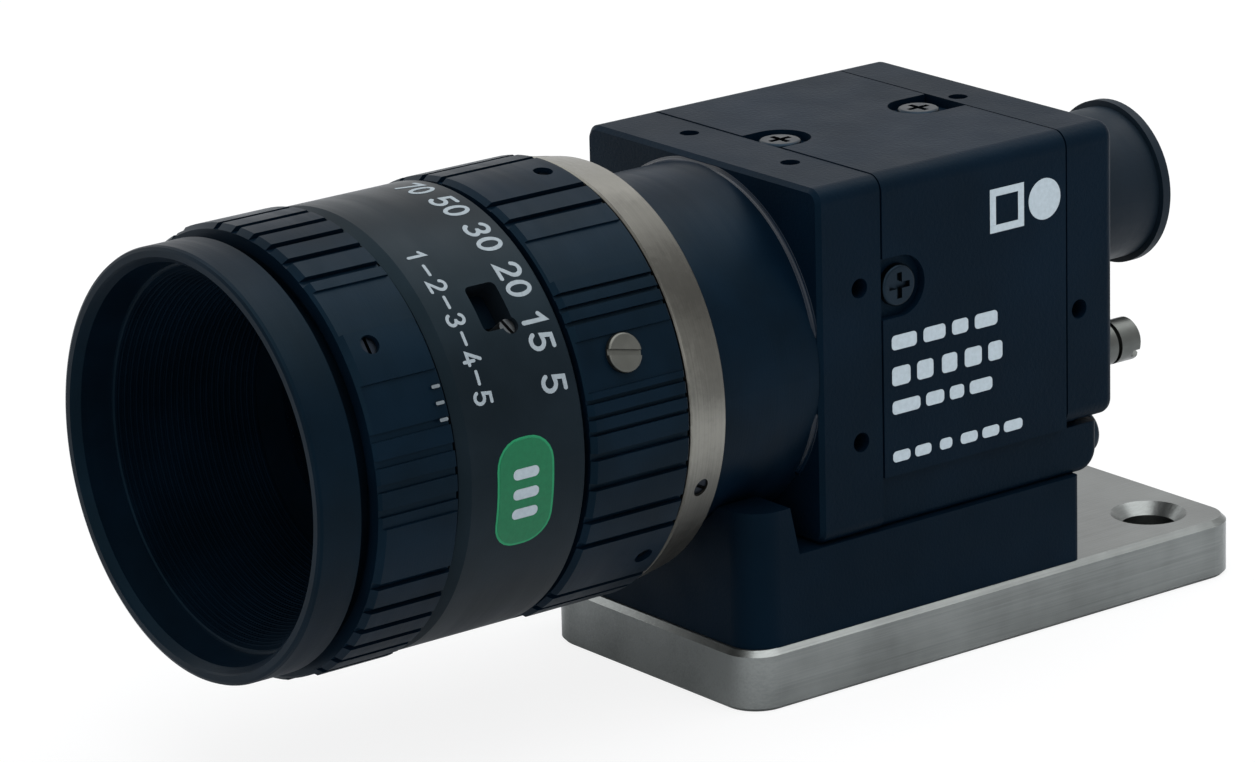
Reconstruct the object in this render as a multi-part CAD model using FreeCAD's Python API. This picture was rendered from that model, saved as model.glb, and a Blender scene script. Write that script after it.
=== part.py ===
import FreeCAD, Part
import math
import os

# Machine vision camera with its lens, mounting base and steel plate.
# Millimetres. +Z is up, the lens looks along -Y, and the optical axis lies in the plane X = 0.
# The origin is on the plate's underside, straight below the optical axis, at the plane of the
# camera body's front face (Y = 0). Angles about the optical axis start at the top and grow towards +X.

vec = FreeCAD.Vector

# ---- Camera body -------------------------------------------------------------------------------
axis_z = 26.3                 # optical axis above the plate's underside
body_half = 14.5              # half the body's width
body_bottom = axis_z - 14.1
body_top = axis_z + 14.9
body_rear = 31.1
front_seam = 6.3              # front block ends, wrap cover begins
rear_seam = 25.95             # wrap cover ends, rear block begins
seam_gap = 0.16
cover_thick = 1.2
cover_proud = 0.05            # the painted cover stands this far out of the front block
cover_low = axis_z - 9.8      # lower edge of the cover's sides
cover_bend = 1.4              # outer radius of the cover's folds
cavity_half = 11.3
cavity_low = body_bottom + 2.3
cavity_high = body_top - 2.6
tongue_half = body_half - cover_thick
tongue_top = body_top - cover_thick
front_wall = 2.6
rear_wall = 2.0
edge_round = 1.2

# M2 mounting holes in the top and the sides
m2_tap = 0.8                  # radius of the tapped hole's wall
m2_depth = 2.2
m2_front_y = 4.1
m2_rear_y = 27.2
m2_spread = 6.3               # half the distance between the front pair

# Cross-head cover screws in D-shaped pockets whose flat side is the seam
pocket_radius = 2.5
pocket_depth = 0.75
cover_screw_front_y = 8.3
cover_screw_rear_y = 22.9
cover_screw_up = 5.7          # side screws above the optical axis
m2_radius = 1.0
m2_clear = 1.1

# ---- Lens mount --------------------------------------------------------------------------------
flange_y = -11.28             # seat of the lens on the camera
flange_to_sensor = 17.526     # standard distance from that seat to the sensor's surface
mount_thread = 12.7           # radius of the one inch mount thread
barrel_radius = 14.36

# ---- Lens, stations along Y and radii ----------------------------------------------------------
# The lens has its own stations. Seating it on the camera moves every piece of it by lens_seating.
lens_seat = -11.67            # rear face of the lens that rests on the camera's seat
lens_seating = flange_y - lens_seat
bezel_front = -50.10
bezel_bevel = 0.33
bezel_rear = -46.37
bezel_radius = 16.88
filter_thread = 15.0
filter_depth = 2.45
baffle_mouth = 14.3
baffle_throat = 11.0
baffle_end = -36.2
baffle_steps = 12
focus_front = -45.1
focus_rear = -37.95
focus_radius = 17.66
band_front = -37.5
band_rear = -25.85
band_radius = 17.45
iris_front = -25.35
iris_rear = -15.95
iris_radius = 17.66
collar_front = -15.65
collar_radius_front = 17.42
collar_radius_rear = 16.77
sleeve_bore = 15.33           # bore that guides the lens cell
cell_radius = 15.25
barrel_sleeve = 16.2          # outside of the barrel under the iris ring
window_angle = 48.4           # rounded window in the band
window_front = -32.6
window_rear = -29.8
guide_angle = 54.4            # the guide pin stands in the window's lower rear corner
guide_y = -30.2
guide_radius = 0.66
sector = 120                  # the rings' pattern repeats three times

# Patterns of the two gripping rings, as angles from the centre of a pad
groove_floor = 0.42           # depth of the grooves below a ring's outer radius
flat_floor = 0.2              # depth of the lowered fields
wide_groove = 0.62
narrow_groove = 0.36
focus_pad = 54.0
focus_fields = ((-20.5, -7.0), (6.5, 42.3))
focus_grooves = (19.5, 26.0, 32.0, 38.3, 58.3, 66.1, 73.6, 80.8, 88.0, 95.6)
focus_screw_y = -42.75
focus_screw_angle = 51.0
iris_pad = 8.3
iris_fields = ((25.0, 38.0), (54.4, 67.5))
iris_wide_grooves = (10.1, 17.9, 83.7, 91.7, 101.3, 109.3)
iris_narrow_grooves = (42.0, 45.8, 49.7, 69.7, 73.7, 77.7)
iris_grub_y = -17.86

# ---- Iris --------------------------------------------------------------------------------------
blade_count = 6
blade_phase = 20.0            # angle of the first blade's pivot
blade_thick = 0.18
blade_pitch = 0.26            # each blade lies one step behind the last
blade_inner = 8.45
blade_outer = 10.8
pivot_circle = 12.0
cam_pin_circle = 11.5
cam_pin_angle = -16.5
iris_pin = 0.4
pivot_clear = 0.05
cam_clear = 0.09
iris_throw = 45.0             # turn of the iris ring, degrees
blade_swing = 30.4            # swing of a blade over that turn, degrees
iris_plate_front = -25.6
blades_front = -25.1
drive_front = -23.5
drive_rear = -22.9
iris_screw_y = -21.2
iris_screw_angle = 68.0
focus_travel = 1.0            # the lens cell slides this far each way

# ---- Mounting base and plate -------------------------------------------------------------------
plate_thick = 5.0
plate_left = -11.35
plate_right = 14.9
plate_front = -7.9
plate_rear = 45.0
plate_corner = 3.0
plate_mid = (plate_left + plate_right) / 2
plate_hole = 2.25
plate_hole_rim = 3.2
plate_hole_y = 39.6
plate_hole_spread = 7.625
base_front = -7.2
base_rear = 27.3
base_corner = 2.8
saddle_top = axis_z - 10.1
saddle_clear = 0.12
m3_radius = 1.5
m3_clear = 1.6
plate_screw_spread = 8.1
plate_screw_ys = (2.0, 23.0)
base_screw_ys = (9.5, 21.5)

# ---- Rear connectors ---------------------------------------------------------------------------
round_z = axis_z + 4.7
round_bore = 5.0
cap_radius = 6.4
cap_lip = 6.9
cap_rear = 44.65
port_z = axis_z - 4.8
port_half = 8.6
port_rise = 2.3
jack_x = 11.3
connector_front = body_rear - rear_wall   # inner face of the rear wall
chassis_rear = 29.7

# ---- Boards ------------------------------------------------------------------------------------
board_half = 11.0
board_low = cavity_low + 1.5
board_high = cavity_high - 0.9
board_thick = 1.0
board_ys = (7.4, 13.5, 20.0)
stack_offset = 8.9


# ---- Shape helpers -----------------------------------------------------------------------------

def box(x0, x1, y0, y1, z0, z1):
    """Block between two corners."""
    return Part.makeBox(x1 - x0, y1 - y0, z1 - z0, vec(x0, y0, z0))


def rod(radius, start, end):
    """Round bar between two points."""
    return Part.makeCylinder(radius, (end - start).Length, start, end - start)


def taper(radius_start, radius_end, start, end):
    """Cone frustum between two points."""
    return Part.makeCone(radius_start, radius_end, (end - start).Length, start, end - start)


def as_solid(shape):
    """Turn an inside-out solid the right way round."""
    if shape.Volume < 0:
        shape.reverse()
    return shape


def revolve(edges, height, angle=360):
    """Revolve a closed outline in the XY plane about Y, at a height."""
    face = Part.Face(Part.Wire(edges))
    solid = as_solid(face.revolve(vec(0, 0, 0), vec(0, 1, 0), angle))
    solid.translate(vec(0, 0, height))
    return solid


def turned(profile, height=axis_z):
    """Turn a part from its (y, radius) outline."""
    points = [vec(radius, y, 0) for y, radius in profile]
    return revolve(Part.makePolygon(points + points[:1]).Edges, height)


def around(shape, angle, height=axis_z):
    """Copy turned about the optical axis."""
    copy = shape.copy()
    copy.rotate(vec(0, 0, height), vec(0, 1, 0), angle)
    return copy


def ring_sector(inner, outer, y0, y1, angle0, angle1):
    """Piece of a ring between two angles."""
    corners = [vec(0, y0, inner), vec(0, y1, inner), vec(0, y1, outer), vec(0, y0, outer)]
    face = Part.Face(Part.makePolygon(corners + corners[:1]))
    solid = as_solid(face.revolve(vec(0, 0, 0), vec(0, 1, 0), angle1 - angle0))
    solid.translate(vec(0, 0, axis_z))
    return around(solid, angle0)


def radial_rod(radius, y, angle, inner, outer):
    """Bar that points away from the optical axis."""
    bar = rod(radius, vec(0, y, axis_z + inner), vec(0, y, axis_z + outer))
    return around(bar, angle)


def radial_box(width, y0, y1, angle, inner, outer):
    """Block that points away from the optical axis."""
    block = box(-width / 2, width / 2, y0, y1, axis_z + inner, axis_z + outer)
    return around(block, angle)


def edges_along(shape, axis, keep=lambda middle: True):
    """Straight edges parallel to an axis whose middle passes a test."""
    found = []
    for edge in shape.Edges:
        if not isinstance(edge.Curve, Part.Line):
            continue
        direction = edge.tangentAt(edge.FirstParameter)
        if abs(direction.dot(axis)) > 0.999 and keep(edge.CenterOfMass):
            found.append(edge)
    return found


def union(shapes):
    """One solid from touching shapes."""
    whole = shapes[0]
    if len(shapes) > 1:
        whole = whole.fuse(shapes[1:])
    return whole.removeSplitter()


def cut(shape, tools):
    """Shape without its tools."""
    return shape.cut(tools).removeSplitter()


def group(shapes):
    """Like pieces kept as separate solids in one node."""
    return Part.makeCompound(shapes)


def aim(shape, point, direction):
    """Move a piece drawn along +Z so that it sits at a point and looks along a direction."""
    shape.Placement = FreeCAD.Placement(point, FreeCAD.Rotation(vec(0, 0, 1), direction))
    return shape


def screw(head_radius, head_height, shank_radius, shank_length, drive="cross"):
    """Screw along +Z: its head stands on Z = 0 and its shank hangs below."""
    head = Part.makeCylinder(head_radius, head_height)
    crown = [edge for edge in head.Edges if abs(edge.CenterOfMass.z - head_height) < 0.01]
    head = head.makeFillet(head_height * 0.4, crown[:1])
    shank = rod(shank_radius, vec(0, 0, -shank_length), vec(0, 0, 0))
    slot_width = head_radius * 0.3
    reach = head_radius * (1.1 if drive == "slot" else 0.62)
    depth = head_height * 0.6
    slot = box(-reach, reach, -slot_width / 2, slot_width / 2, head_height - depth, head_height + 1)
    tools = [slot]
    if drive == "cross":
        tools.append(box(-slot_width / 2, slot_width / 2, -reach, reach, head_height - depth, head_height + 1))
    if drive == "hex":
        key = Part.makePolygon([vec(head_radius * 0.5 * math.cos(math.radians(60 * side)),
                                    head_radius * 0.5 * math.sin(math.radians(60 * side)),
                                    head_height - depth) for side in range(7)])
        tools = [Part.Face(key).extrude(vec(0, 0, depth + 1))]
    return cut(union([head, shank]), tools)


def grub(radius, length):
    """Slotted set screw along +Z with its top at Z = 0."""
    body = rod(radius, vec(0, 0, -length), vec(0, 0, 0))
    return cut(body, [box(-radius, radius, -0.14, 0.14, -0.35, 1)])


def sagged(curve, height):
    """How far a spherical surface lies behind its vertex at a height from the axis."""
    return curve - math.copysign(math.sqrt(curve * curve - height * height), curve)


def glass_element(radius, front_vertex, front_curve, rear_vertex, rear_curve):
    """Lens element. A curve is positive where its centre lies behind the surface."""
    def point(vertex, curve, height):
        return vec(height, vertex + sagged(curve, height), 0)

    front = Part.Arc(point(front_vertex, front_curve, 0),
                     point(front_vertex, front_curve, radius / 2),
                     point(front_vertex, front_curve, radius)).toShape()
    rim = Part.makeLine(point(front_vertex, front_curve, radius), point(rear_vertex, rear_curve, radius))
    rear = Part.Arc(point(rear_vertex, rear_curve, radius),
                    point(rear_vertex, rear_curve, radius / 2),
                    point(rear_vertex, rear_curve, 0)).toShape()
    middle = Part.makeLine(vec(0, rear_vertex, 0), vec(0, front_vertex, 0))
    return revolve([front, rim, rear, middle], axis_z)


# ---- Steel plate and mounting base -------------------------------------------------------------

def plate_screw_places():
    """Where the countersunk screws pass from the plate into the base."""
    return [(plate_mid + side * plate_screw_spread, y) for side in (-1, 1) for y in plate_screw_ys]


def base_plate():
    """Ground steel plate with two countersunk mounting holes behind the camera."""
    plate = box(plate_left, plate_right, plate_front, plate_rear, 0, plate_thick)
    plate = plate.makeFillet(plate_corner, edges_along(plate, vec(0, 0, 1)))
    rims = [edge for edge in plate.Edges if abs(edge.CenterOfMass.z - plate_thick) < 0.01]
    plate = plate.makeChamfer(0.45, rims)
    feet = [edge for edge in plate.Edges if abs(edge.CenterOfMass.z) < 0.01]
    plate = plate.makeChamfer(0.3, feet)
    tools = []
    for side in (-1, 1):
        x = plate_mid + side * plate_hole_spread
        tools.append(rod(plate_hole, vec(x, plate_hole_y, -1), vec(x, plate_hole_y, plate_thick + 1)))
        rim = plate_hole_rim - plate_hole
        tools.append(taper(plate_hole, plate_hole_rim, vec(x, plate_hole_y, plate_thick - rim),
                           vec(x, plate_hole_y, plate_thick)))
    for x, y in plate_screw_places():
        tools.append(rod(m3_clear, vec(x, y, -1), vec(x, y, plate_thick + 1)))
        tools.append(taper(3.1, m3_clear, vec(x, y, 0), vec(x, y, 1.5)))
    return cut(plate, tools)


def plate_screws():
    """Countersunk screws from under the plate into the base."""
    screws = []
    for x, y in plate_screw_places():
        head = taper(2.95, m3_radius, vec(x, y, 0.12), vec(x, y, 1.55))
        shank = rod(m3_radius, vec(x, y, 1.5), vec(x, y, 10.5))
        drive = rod(1.0, vec(x, y, 0), vec(x, y, 1.1))
        screws.append(cut(union([head, shank]), [drive]))
    return group(screws)


def mounting_base():
    """Black base: a thick floor and an upright with a saddle for the camera's mount barrel."""
    outline = [(base_front, plate_thick), (base_rear, plate_thick), (base_rear, body_bottom),
               (-2.4, body_bottom), (-3.3, saddle_top), (base_front, saddle_top)]
    points = [vec(-body_half, y, z) for y, z in outline]
    side = Part.Face(Part.makePolygon(points + points[:1]))
    base = as_solid(side.extrude(vec(2 * body_half, 0, 0)))
    base = base.makeFillet(base_corner, edges_along(base, vec(0, 0, 1), lambda m: m.y < base_front + 0.1))
    base = base.makeFillet(0.6, edges_along(base, vec(0, 0, 1), lambda m: m.y > base_rear - 0.1))
    saddle = rod(barrel_radius + saddle_clear, vec(0, base_front - 1, axis_z), vec(0, 0, axis_z))
    tools = [saddle]
    for x, y in plate_screw_places():
        tools.append(rod(m3_radius, vec(x, y, plate_thick - 1), vec(x, y, 11.0)))
    for y in base_screw_ys:
        tools.append(rod(m3_clear, vec(0, y, plate_thick), vec(0, y, body_bottom + 1)))
        tools.append(rod(2.9, vec(0, y, plate_thick - 1), vec(0, y, 9.0)))
    return cut(base, tools)


def base_screws():
    """Socket-head screws from under the base into the camera's chassis."""
    model = screw(2.75, 3.0, m3_radius, 5.3, "hex")
    return group([aim(model.copy(), vec(0, y, 9.0), vec(0, 0, -1)) for y in base_screw_ys])


# ---- Camera housings ---------------------------------------------------------------------------

def m2_holes(y, places):
    """Tapped holes in the top and both sides: places are offsets from the middle of each face."""
    tools = []
    for offset in places:
        top = vec(offset, y, body_top)
        tools.append(rod(m2_tap, top - vec(0, 0, m2_depth), top + vec(0, 0, 1)))
        for side in (-1, 1):
            face = vec(side * body_half, y, axis_z + offset)
            tools.append(rod(m2_tap, face - vec(side * m2_depth, 0, 0), face + vec(side, 0, 0)))
    return tools


def cover_screw_places():
    """Seat point and outward direction of each cover screw, on the floor of its pocket."""
    floor = cover_proud - pocket_depth
    return [(vec(0, cover_screw_front_y, body_top + floor), vec(0, 0, 1)),
            (vec(0, cover_screw_rear_y, body_top + floor), vec(0, 0, 1)),
            (vec(body_half + floor, cover_screw_front_y, axis_z + cover_screw_up), vec(1, 0, 0)),
            (vec(-body_half - floor, cover_screw_front_y, axis_z + cover_screw_up), vec(-1, 0, 0))]


def cover_screw_taps():
    """Tapped holes under the cover screws."""
    return [rod(m2_radius, seat - way * 2.0, seat + way) for seat, way in cover_screw_places()]


def front_housing():
    """Front block with a rebated tongue that the cover wraps over, and the sensor's cavity."""
    block = box(-body_half, body_half, 0, front_seam, body_bottom, body_top)
    block = block.makeFillet(edge_round, edges_along(block, vec(0, 1, 0)))
    face = [edge for edge in block.Edges if abs(edge.CenterOfMass.y) < 0.01]
    block = block.makeChamfer(0.35, face)
    tongue = box(-tongue_half, tongue_half, front_seam - 1, front_seam + 4.2, cover_low, tongue_top)
    tongue = tongue.makeFillet(0.3, edges_along(tongue, vec(0, 1, 0), lambda m: m.z > axis_z))
    block = union([block, tongue])
    tools = [box(-cavity_half, cavity_half, front_wall, front_seam + 5, cavity_low, cavity_high)]
    tools.append(rod(11.5, vec(0, -1, axis_z), vec(0, 2.0, axis_z)))
    tools.append(rod(9.0, vec(0, 1, axis_z), vec(0, front_wall + 1, axis_z)))
    tools += m2_holes(m2_front_y, (-m2_spread, m2_spread))
    tools += cover_screw_taps()
    for side in (-1, 1):
        x = side * 4.5
        tools.append(rod(m2_clear, vec(x, 4.4, body_bottom - 1), vec(x, 4.4, cavity_low + 1)))
        tools.append(taper(2.0, m2_clear, vec(x, 4.4, body_bottom), vec(x, 4.4, body_bottom + 0.9)))
    block = cut(block, tools)
    posts = []
    holes = []
    for x in (-stack_offset, stack_offset):
        for z in (axis_z - stack_offset, axis_z + stack_offset):
            posts.append(rod(1.8, vec(x, front_wall - 0.5, z), vec(x, board_ys[0], z)))
            holes.append(rod(m2_radius, vec(x, 3.4, z), vec(x, board_ys[0] + 1, z)))
    return cut(union([block] + posts), holes)


def wrap_cover():
    """U-shaped cover folded over the top and both sides, with a D-shaped pocket for each screw."""
    half = body_half + cover_proud
    top = body_top + cover_proud
    start = front_seam + seam_gap
    end = rear_seam - seam_gap
    cover = box(-half, half, start, end, cover_low, top)
    cover = cover.makeFillet(cover_bend, edges_along(cover, vec(0, 1, 0), lambda m: m.z > axis_z))
    inside = half - cover_thick
    cover = cut(cover, [box(-inside, inside, start - 1, end + 1, cover_low - 1, top - cover_thick)])
    tools = []
    for seat, way in cover_screw_places():
        seam = start if seat.y < (start + end) / 2 else end
        across = vec(0, 1, 0).cross(way) * pocket_radius
        corners = [seat - across, seat + across, seat + across, seat - across, seat - across]
        for number in (2, 3):
            corners[number] = vec(corners[number].x, seam + math.copysign(1, seam - seat.y), corners[number].z)
        tools.append(rod(pocket_radius, seat, seat + way * 3))
        tools.append(as_solid(Part.Face(Part.makePolygon(corners)).extrude(way * 3)))
        tools.append(rod(m2_clear, seat - way * 2, seat + way))
    return cut(cover, tools)


def rear_housing():
    """Rear block with the connector openings, a tongue under the cover and two lugs below."""
    low = cover_low + 0.1
    half = body_half + cover_proud
    block = box(-half, half, rear_seam, body_rear, low, body_top + cover_proud)
    block = block.makeFillet(cover_bend, edges_along(block, vec(0, 1, 0)))
    face = [edge for edge in block.Edges if abs(edge.CenterOfMass.y - body_rear) < 0.01]
    block = block.makeFillet(0.9, face)
    tongue = box(-tongue_half, tongue_half, rear_seam - 4.3, rear_seam + 1, low, tongue_top)
    tongue = tongue.makeFillet(0.3, edges_along(tongue, vec(0, 1, 0), lambda m: m.z > axis_z))
    lugs = [box(*sorted((side * 9.4, side * 12.95)), rear_seam + 0.1, chassis_rear - 1.65, 13.3, low + 1) for side in (-1, 1)]
    block = union([block, tongue] + lugs)
    tools = [box(-cavity_half, cavity_half, rear_seam - 5, connector_front, low + 1.6, cavity_high)]
    tools.append(rod(round_bore, vec(0, 27, round_z), vec(0, body_rear + 1, round_z)))
    tools.append(box(-port_half - 0.05, port_half + 0.05, 27, body_rear + 1,
                     port_z - port_rise - 0.05, port_z + port_rise + 0.05))
    tools.append(box(-half, half, 20, board_ys[2] + 2.4, low - 1, axis_z - 6.6))
    tools += m2_holes(m2_rear_y, (0,))
    tools += cover_screw_taps()
    for side in (-1, 1):
        tools.append(rod(m2_radius, vec(side * jack_x, connector_front + 0.05, port_z), vec(side * jack_x, body_rear + 1, port_z)))
        tools.append(rod(m2_radius, vec(side * 11.4, rear_seam, 14.6), vec(side * 11.4, 28.5, 14.6)))
    return cut(block, tools)


def bottom_chassis():
    """Tray between the blocks, under the cover, that carries the camera on its base."""
    half = body_half - 0.5
    rear = chassis_rear
    tray = box(-half, half, front_seam + 0.15, rear, body_bottom, cover_low - 0.2)
    tray = tray.makeFillet(1.8, edges_along(tray, vec(1, 0, 0), lambda m: m.y > 29 and m.z < 13))
    tray = tray.makeFillet(0.6, edges_along(tray, vec(0, 0, 1), lambda m: m.y > 29))
    hollow = box(-half + 1.3, half - 1.3, front_seam - 1, rear - 1.6, body_bottom + 2.4, cover_low + 1)
    tools = [hollow]
    for side in (-1, 1):
        tools.append(box(*sorted((side * 9.3, side * 13.05)), rear_seam, rear - 1.6, 13.25, cover_low + 1))
        tools.append(rod(m2_clear, vec(side * 11.4, 27, 14.6), vec(side * 11.4, rear + 1, 14.6)))
        tools.append(rod(m2_radius, vec(side * 4.5, 4.4, 14), vec(side * 4.5, 4.4, 17)))
    for y in base_screw_ys:
        tools.append(rod(m3_radius, vec(0, y, body_bottom - 1), vec(0, y, body_bottom + 3)))
    lips = [box(*sorted((side * 11.5, side * 13.2)), 10.8, 21.2, body_bottom + 2.4, 19.5) for side in (-1, 1)]
    tab = box(-6.9, 6.9, 2.9, 12.0, cavity_low + 0.05, cavity_low + 1.4)
    return cut(union([cut(tray, tools[:1]), tab] + lips), tools[1:])


def cover_screws():
    """Cross-head screws that hold the cover to the blocks."""
    return group([aim(screw(1.7, 0.62, m2_radius, 1.7), seat, way) for seat, way in cover_screw_places()])


def rear_screws():
    """Pan-head screws that hold the chassis to the rear block."""
    return group([aim(screw(1.85, 1.1, m2_radius, 3.2), vec(side * 11.4, chassis_rear, 14.6), vec(0, 1, 0))
                  for side in (-1, 1)])


def chassis_screws():
    """Countersunk screws that hold the chassis to the front block, from below."""
    screws = []
    for side in (-1, 1):
        x = side * 4.5
        head = taper(1.95, m2_radius, vec(x, 4.4, body_bottom + 0.03), vec(x, 4.4, body_bottom + 0.88))
        shank = rod(m2_radius, vec(x, 4.4, body_bottom + 0.8), vec(x, 4.4, cavity_low + 1.3))
        drive = box(x - 1.2, x + 1.2, 4.2, 4.6, body_bottom - 1, body_bottom + 0.5)
        screws.append(cut(union([head, shank]), [drive]))
    return group(screws)


# ---- Lens mount of the camera ------------------------------------------------------------------

def mount_barrel():
    """Turned barrel in front of the body, bored for the threaded mount ring."""
    return turned([(flange_y, 13.5), (flange_y, barrel_radius - 0.3), (flange_y + 0.3, barrel_radius),
                   (0, barrel_radius), (0, 11.48), (1.98, 11.48), (1.98, 9.6), (-2.5, 9.6),
                   (-2.5, 12.9), (-6.6, 12.9), (-6.6, 13.5)])


def mount_thread_ring():
    """Threaded steel ring that takes the lens."""
    return turned([(flange_y + 0.4, mount_thread + 0.3), (flange_y + 0.4, 13.48), (-6.62, 13.48),
                   (-6.62, mount_thread), (flange_y + 0.7, mount_thread)])


# ---- Sensor and boards -------------------------------------------------------------------------

def filter_frame():
    """Round holder behind the front wall for the square infrared filter."""
    frame = rod(10.4, vec(0, front_wall, axis_z), vec(0, 4.9, axis_z))
    pocket = box(-7, 7, front_wall - 1, 3.7, axis_z - 7, axis_z + 7)
    window = box(-6, 6, 3, 6, axis_z - 6, axis_z + 6)
    return cut(frame, [pocket, window])


def infrared_filter():
    return box(-6.95, 6.95, front_wall + 0.05, 3.65, axis_z - 6.95, axis_z + 6.95)


def image_sensor():
    """Ceramic package with the sensor's die in its well."""
    die_front = flange_y + flange_to_sensor
    package = box(-6.5, 6.5, die_front - 0.3, board_ys[0], axis_z - 5.5, axis_z + 5.5)
    well = box(-5, 5, die_front - 1, die_front + 0.6, axis_z - 4, axis_z + 4)
    die = box(-4.4, 4.4, die_front, die_front + 0.8, axis_z - 3.3, axis_z + 3.3)
    return union([cut(package, [well]), die])


def sensor_window():
    """Cover glass of the sensor."""
    front = flange_y + flange_to_sensor - 0.8
    return box(-6, 6, front, front + 0.5, axis_z - 5, axis_z + 5)


def stack_places():
    """Corners where spacers and long screws hold the boards."""
    return [(x, z) for x in (-stack_offset, stack_offset) for z in (axis_z - stack_offset, axis_z + stack_offset)]


def board(y, chips):
    """Circuit board across the body with soldered chips; chips are (x, z, width, height, rise)."""
    plate = box(-board_half, board_half, y, y + board_thick, board_low, board_high)
    holes = [rod(m2_clear, vec(x, y - 1, z), vec(x, y + 2, z)) for x, z in stack_places()]
    parts = []
    for x, z, width, height, rise in chips:
        near, far = sorted((y + board_thick if rise > 0 else y, y + board_thick + rise if rise > 0 else y + rise))
        parts.append(box(x - width / 2, x + width / 2, near, far, axis_z + z - height / 2, axis_z + z + height / 2))
    return cut(union([plate] + parts), holes)


def sensor_board():
    return board(board_ys[0], [(0, -6, 6, 3, 1.4), (0, 5, 12, 4, 1.8)])


def main_board():
    return board(board_ys[1], [(0, 1, 9, 9, 1.2), (-5, -8, 3, 4, 0.9), (4, -8, 4, 3, 1.6), (0, 9.5, 10, 2, -1.5)])


def interface_board():
    return board(board_ys[2], [(0, 5, 6, 6, -1.1), (-4, -3, 4, 3, -1.4), (5, -3, 3, 3, -2.0)])


def board_spacers():
    """Tubes between the boards."""
    tubes = []
    for x, z in stack_places():
        for low, high in zip(board_ys[:-1], board_ys[1:]):
            tube = rod(1.7, vec(x, low + board_thick, z), vec(x, high, z))
            tubes.append(cut(tube, [rod(m2_clear, vec(x, low, z), vec(x, high + 1, z))]))
    return group(tubes)


def board_screws():
    """Long screws through the board stack into the front block's posts."""
    seat = board_ys[-1] + board_thick
    return group([aim(screw(1.8, 1.1, m2_radius, seat - 3.6), vec(x, seat, z), vec(0, 1, 0))
                  for x, z in stack_places()])


# ---- Rear connectors ---------------------------------------------------------------------------

def round_connector():
    """Shell of the round connector: threaded nose outside, seat for its nut inside."""
    return turned([(26.0, 4.3), (26.0, 4.95), (body_rear, 4.95), (body_rear, cap_radius), (32.0, cap_radius),
                   (32.0, 5.2), (38.9, 5.2), (39.1, 5.0), (39.1, 4.3)], round_z)


def connector_nut():
    """Hexagon nut that clamps the round connector from inside."""
    corners = [vec(6.6 * math.sin(math.radians(60 * side)), connector_front - 1.6, round_z + 6.6 * math.cos(math.radians(60 * side)))
               for side in range(7)]
    nut = as_solid(Part.Face(Part.makePolygon(corners)).extrude(vec(0, 1.6, 0)))
    return cut(nut, [rod(4.97, vec(0, 26, round_z), vec(0, 30, round_z))])


def round_insert():
    """Moulded insulator of the round connector."""
    return rod(4.28, vec(0, 26.2, round_z), vec(0, 33.0, round_z))


def round_pins():
    """Contacts of the round connector: nine outside, three inside."""
    pins = []
    for count, circle in ((9, 3.0), (3, 1.2)):
        for step in range(count):
            angle = math.radians(360 / count * step + 20)
            foot = vec(circle * math.sin(angle), 33.0, round_z + circle * math.cos(angle))
            pins.append(rod(0.35, foot, foot + vec(0, 3.5, 0)))
    return group(pins)


def connector_cap():
    """Push-on dust cap with a pull lip at its closed end."""
    return turned([(32.1, 5.28), (32.1, cap_radius), (cap_rear - 1.0, cap_radius), (cap_rear - 1.0, cap_lip),
                   (cap_rear - 0.2, cap_lip), (cap_rear, cap_lip - 0.2), (cap_rear, 5.3), (cap_rear - 0.8, 5.0),
                   (cap_rear - 0.8, 0), (40.1, 0), (40.1, 5.28)], round_z)


def port_outline(half, rise, y0, y1):
    """Rectangular bar with rounded long edges, for the interface connector."""
    bar = box(-half, half, y0, y1, port_z - rise, port_z + rise)
    return bar.makeFillet(0.5, edges_along(bar, vec(0, 1, 0)))


def interface_connector():
    """Metal shell and flange of the rectangular interface connector."""
    shell = port_outline(port_half, port_rise, 27.5, 35.6)
    flange = box(-11.1, 11.1, 27.5, connector_front, port_z - 2.9, port_z + 2.9)
    return cut(union([shell, flange]), [port_outline(port_half - 0.5, port_rise - 0.5, 29.6, 37)])


def interface_insert():
    """Insulator with the contact tongue inside the interface connector."""
    floor = port_outline(port_half - 0.52, port_rise - 0.52, 29.6, 30.9)
    tongue = box(-6.8, 6.8, 30.5, 34.9, port_z - 0.6, port_z + 0.6)
    return union([floor, tongue])


def jackscrews():
    """Slotted jackscrews beside the interface connector: collar, neck and head."""
    posts = []
    for side in (-1, 1):
        foot = connector_front + 0.1
        post = turned([(foot, 0), (foot, m2_radius), (body_rear, m2_radius), (body_rear, 1.8), (32.9, 1.8),
                       (32.9, 1.35), (33.3, 1.35), (33.3, 1.8), (35.3, 1.8), (35.6, 1.5), (35.6, 0)], port_z)
        post.translate(vec(side * jack_x, 0, 0))
        slot = box(side * jack_x - 2, side * jack_x + 2, 34.6, 37, port_z - 0.35, port_z + 0.35)
        slot.rotate(vec(side * jack_x, 0, port_z), vec(0, 1, 0), 30)
        posts.append(cut(post, [slot]))
    return group(posts)


# ---- Lens: fixed parts -------------------------------------------------------------------------

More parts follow.
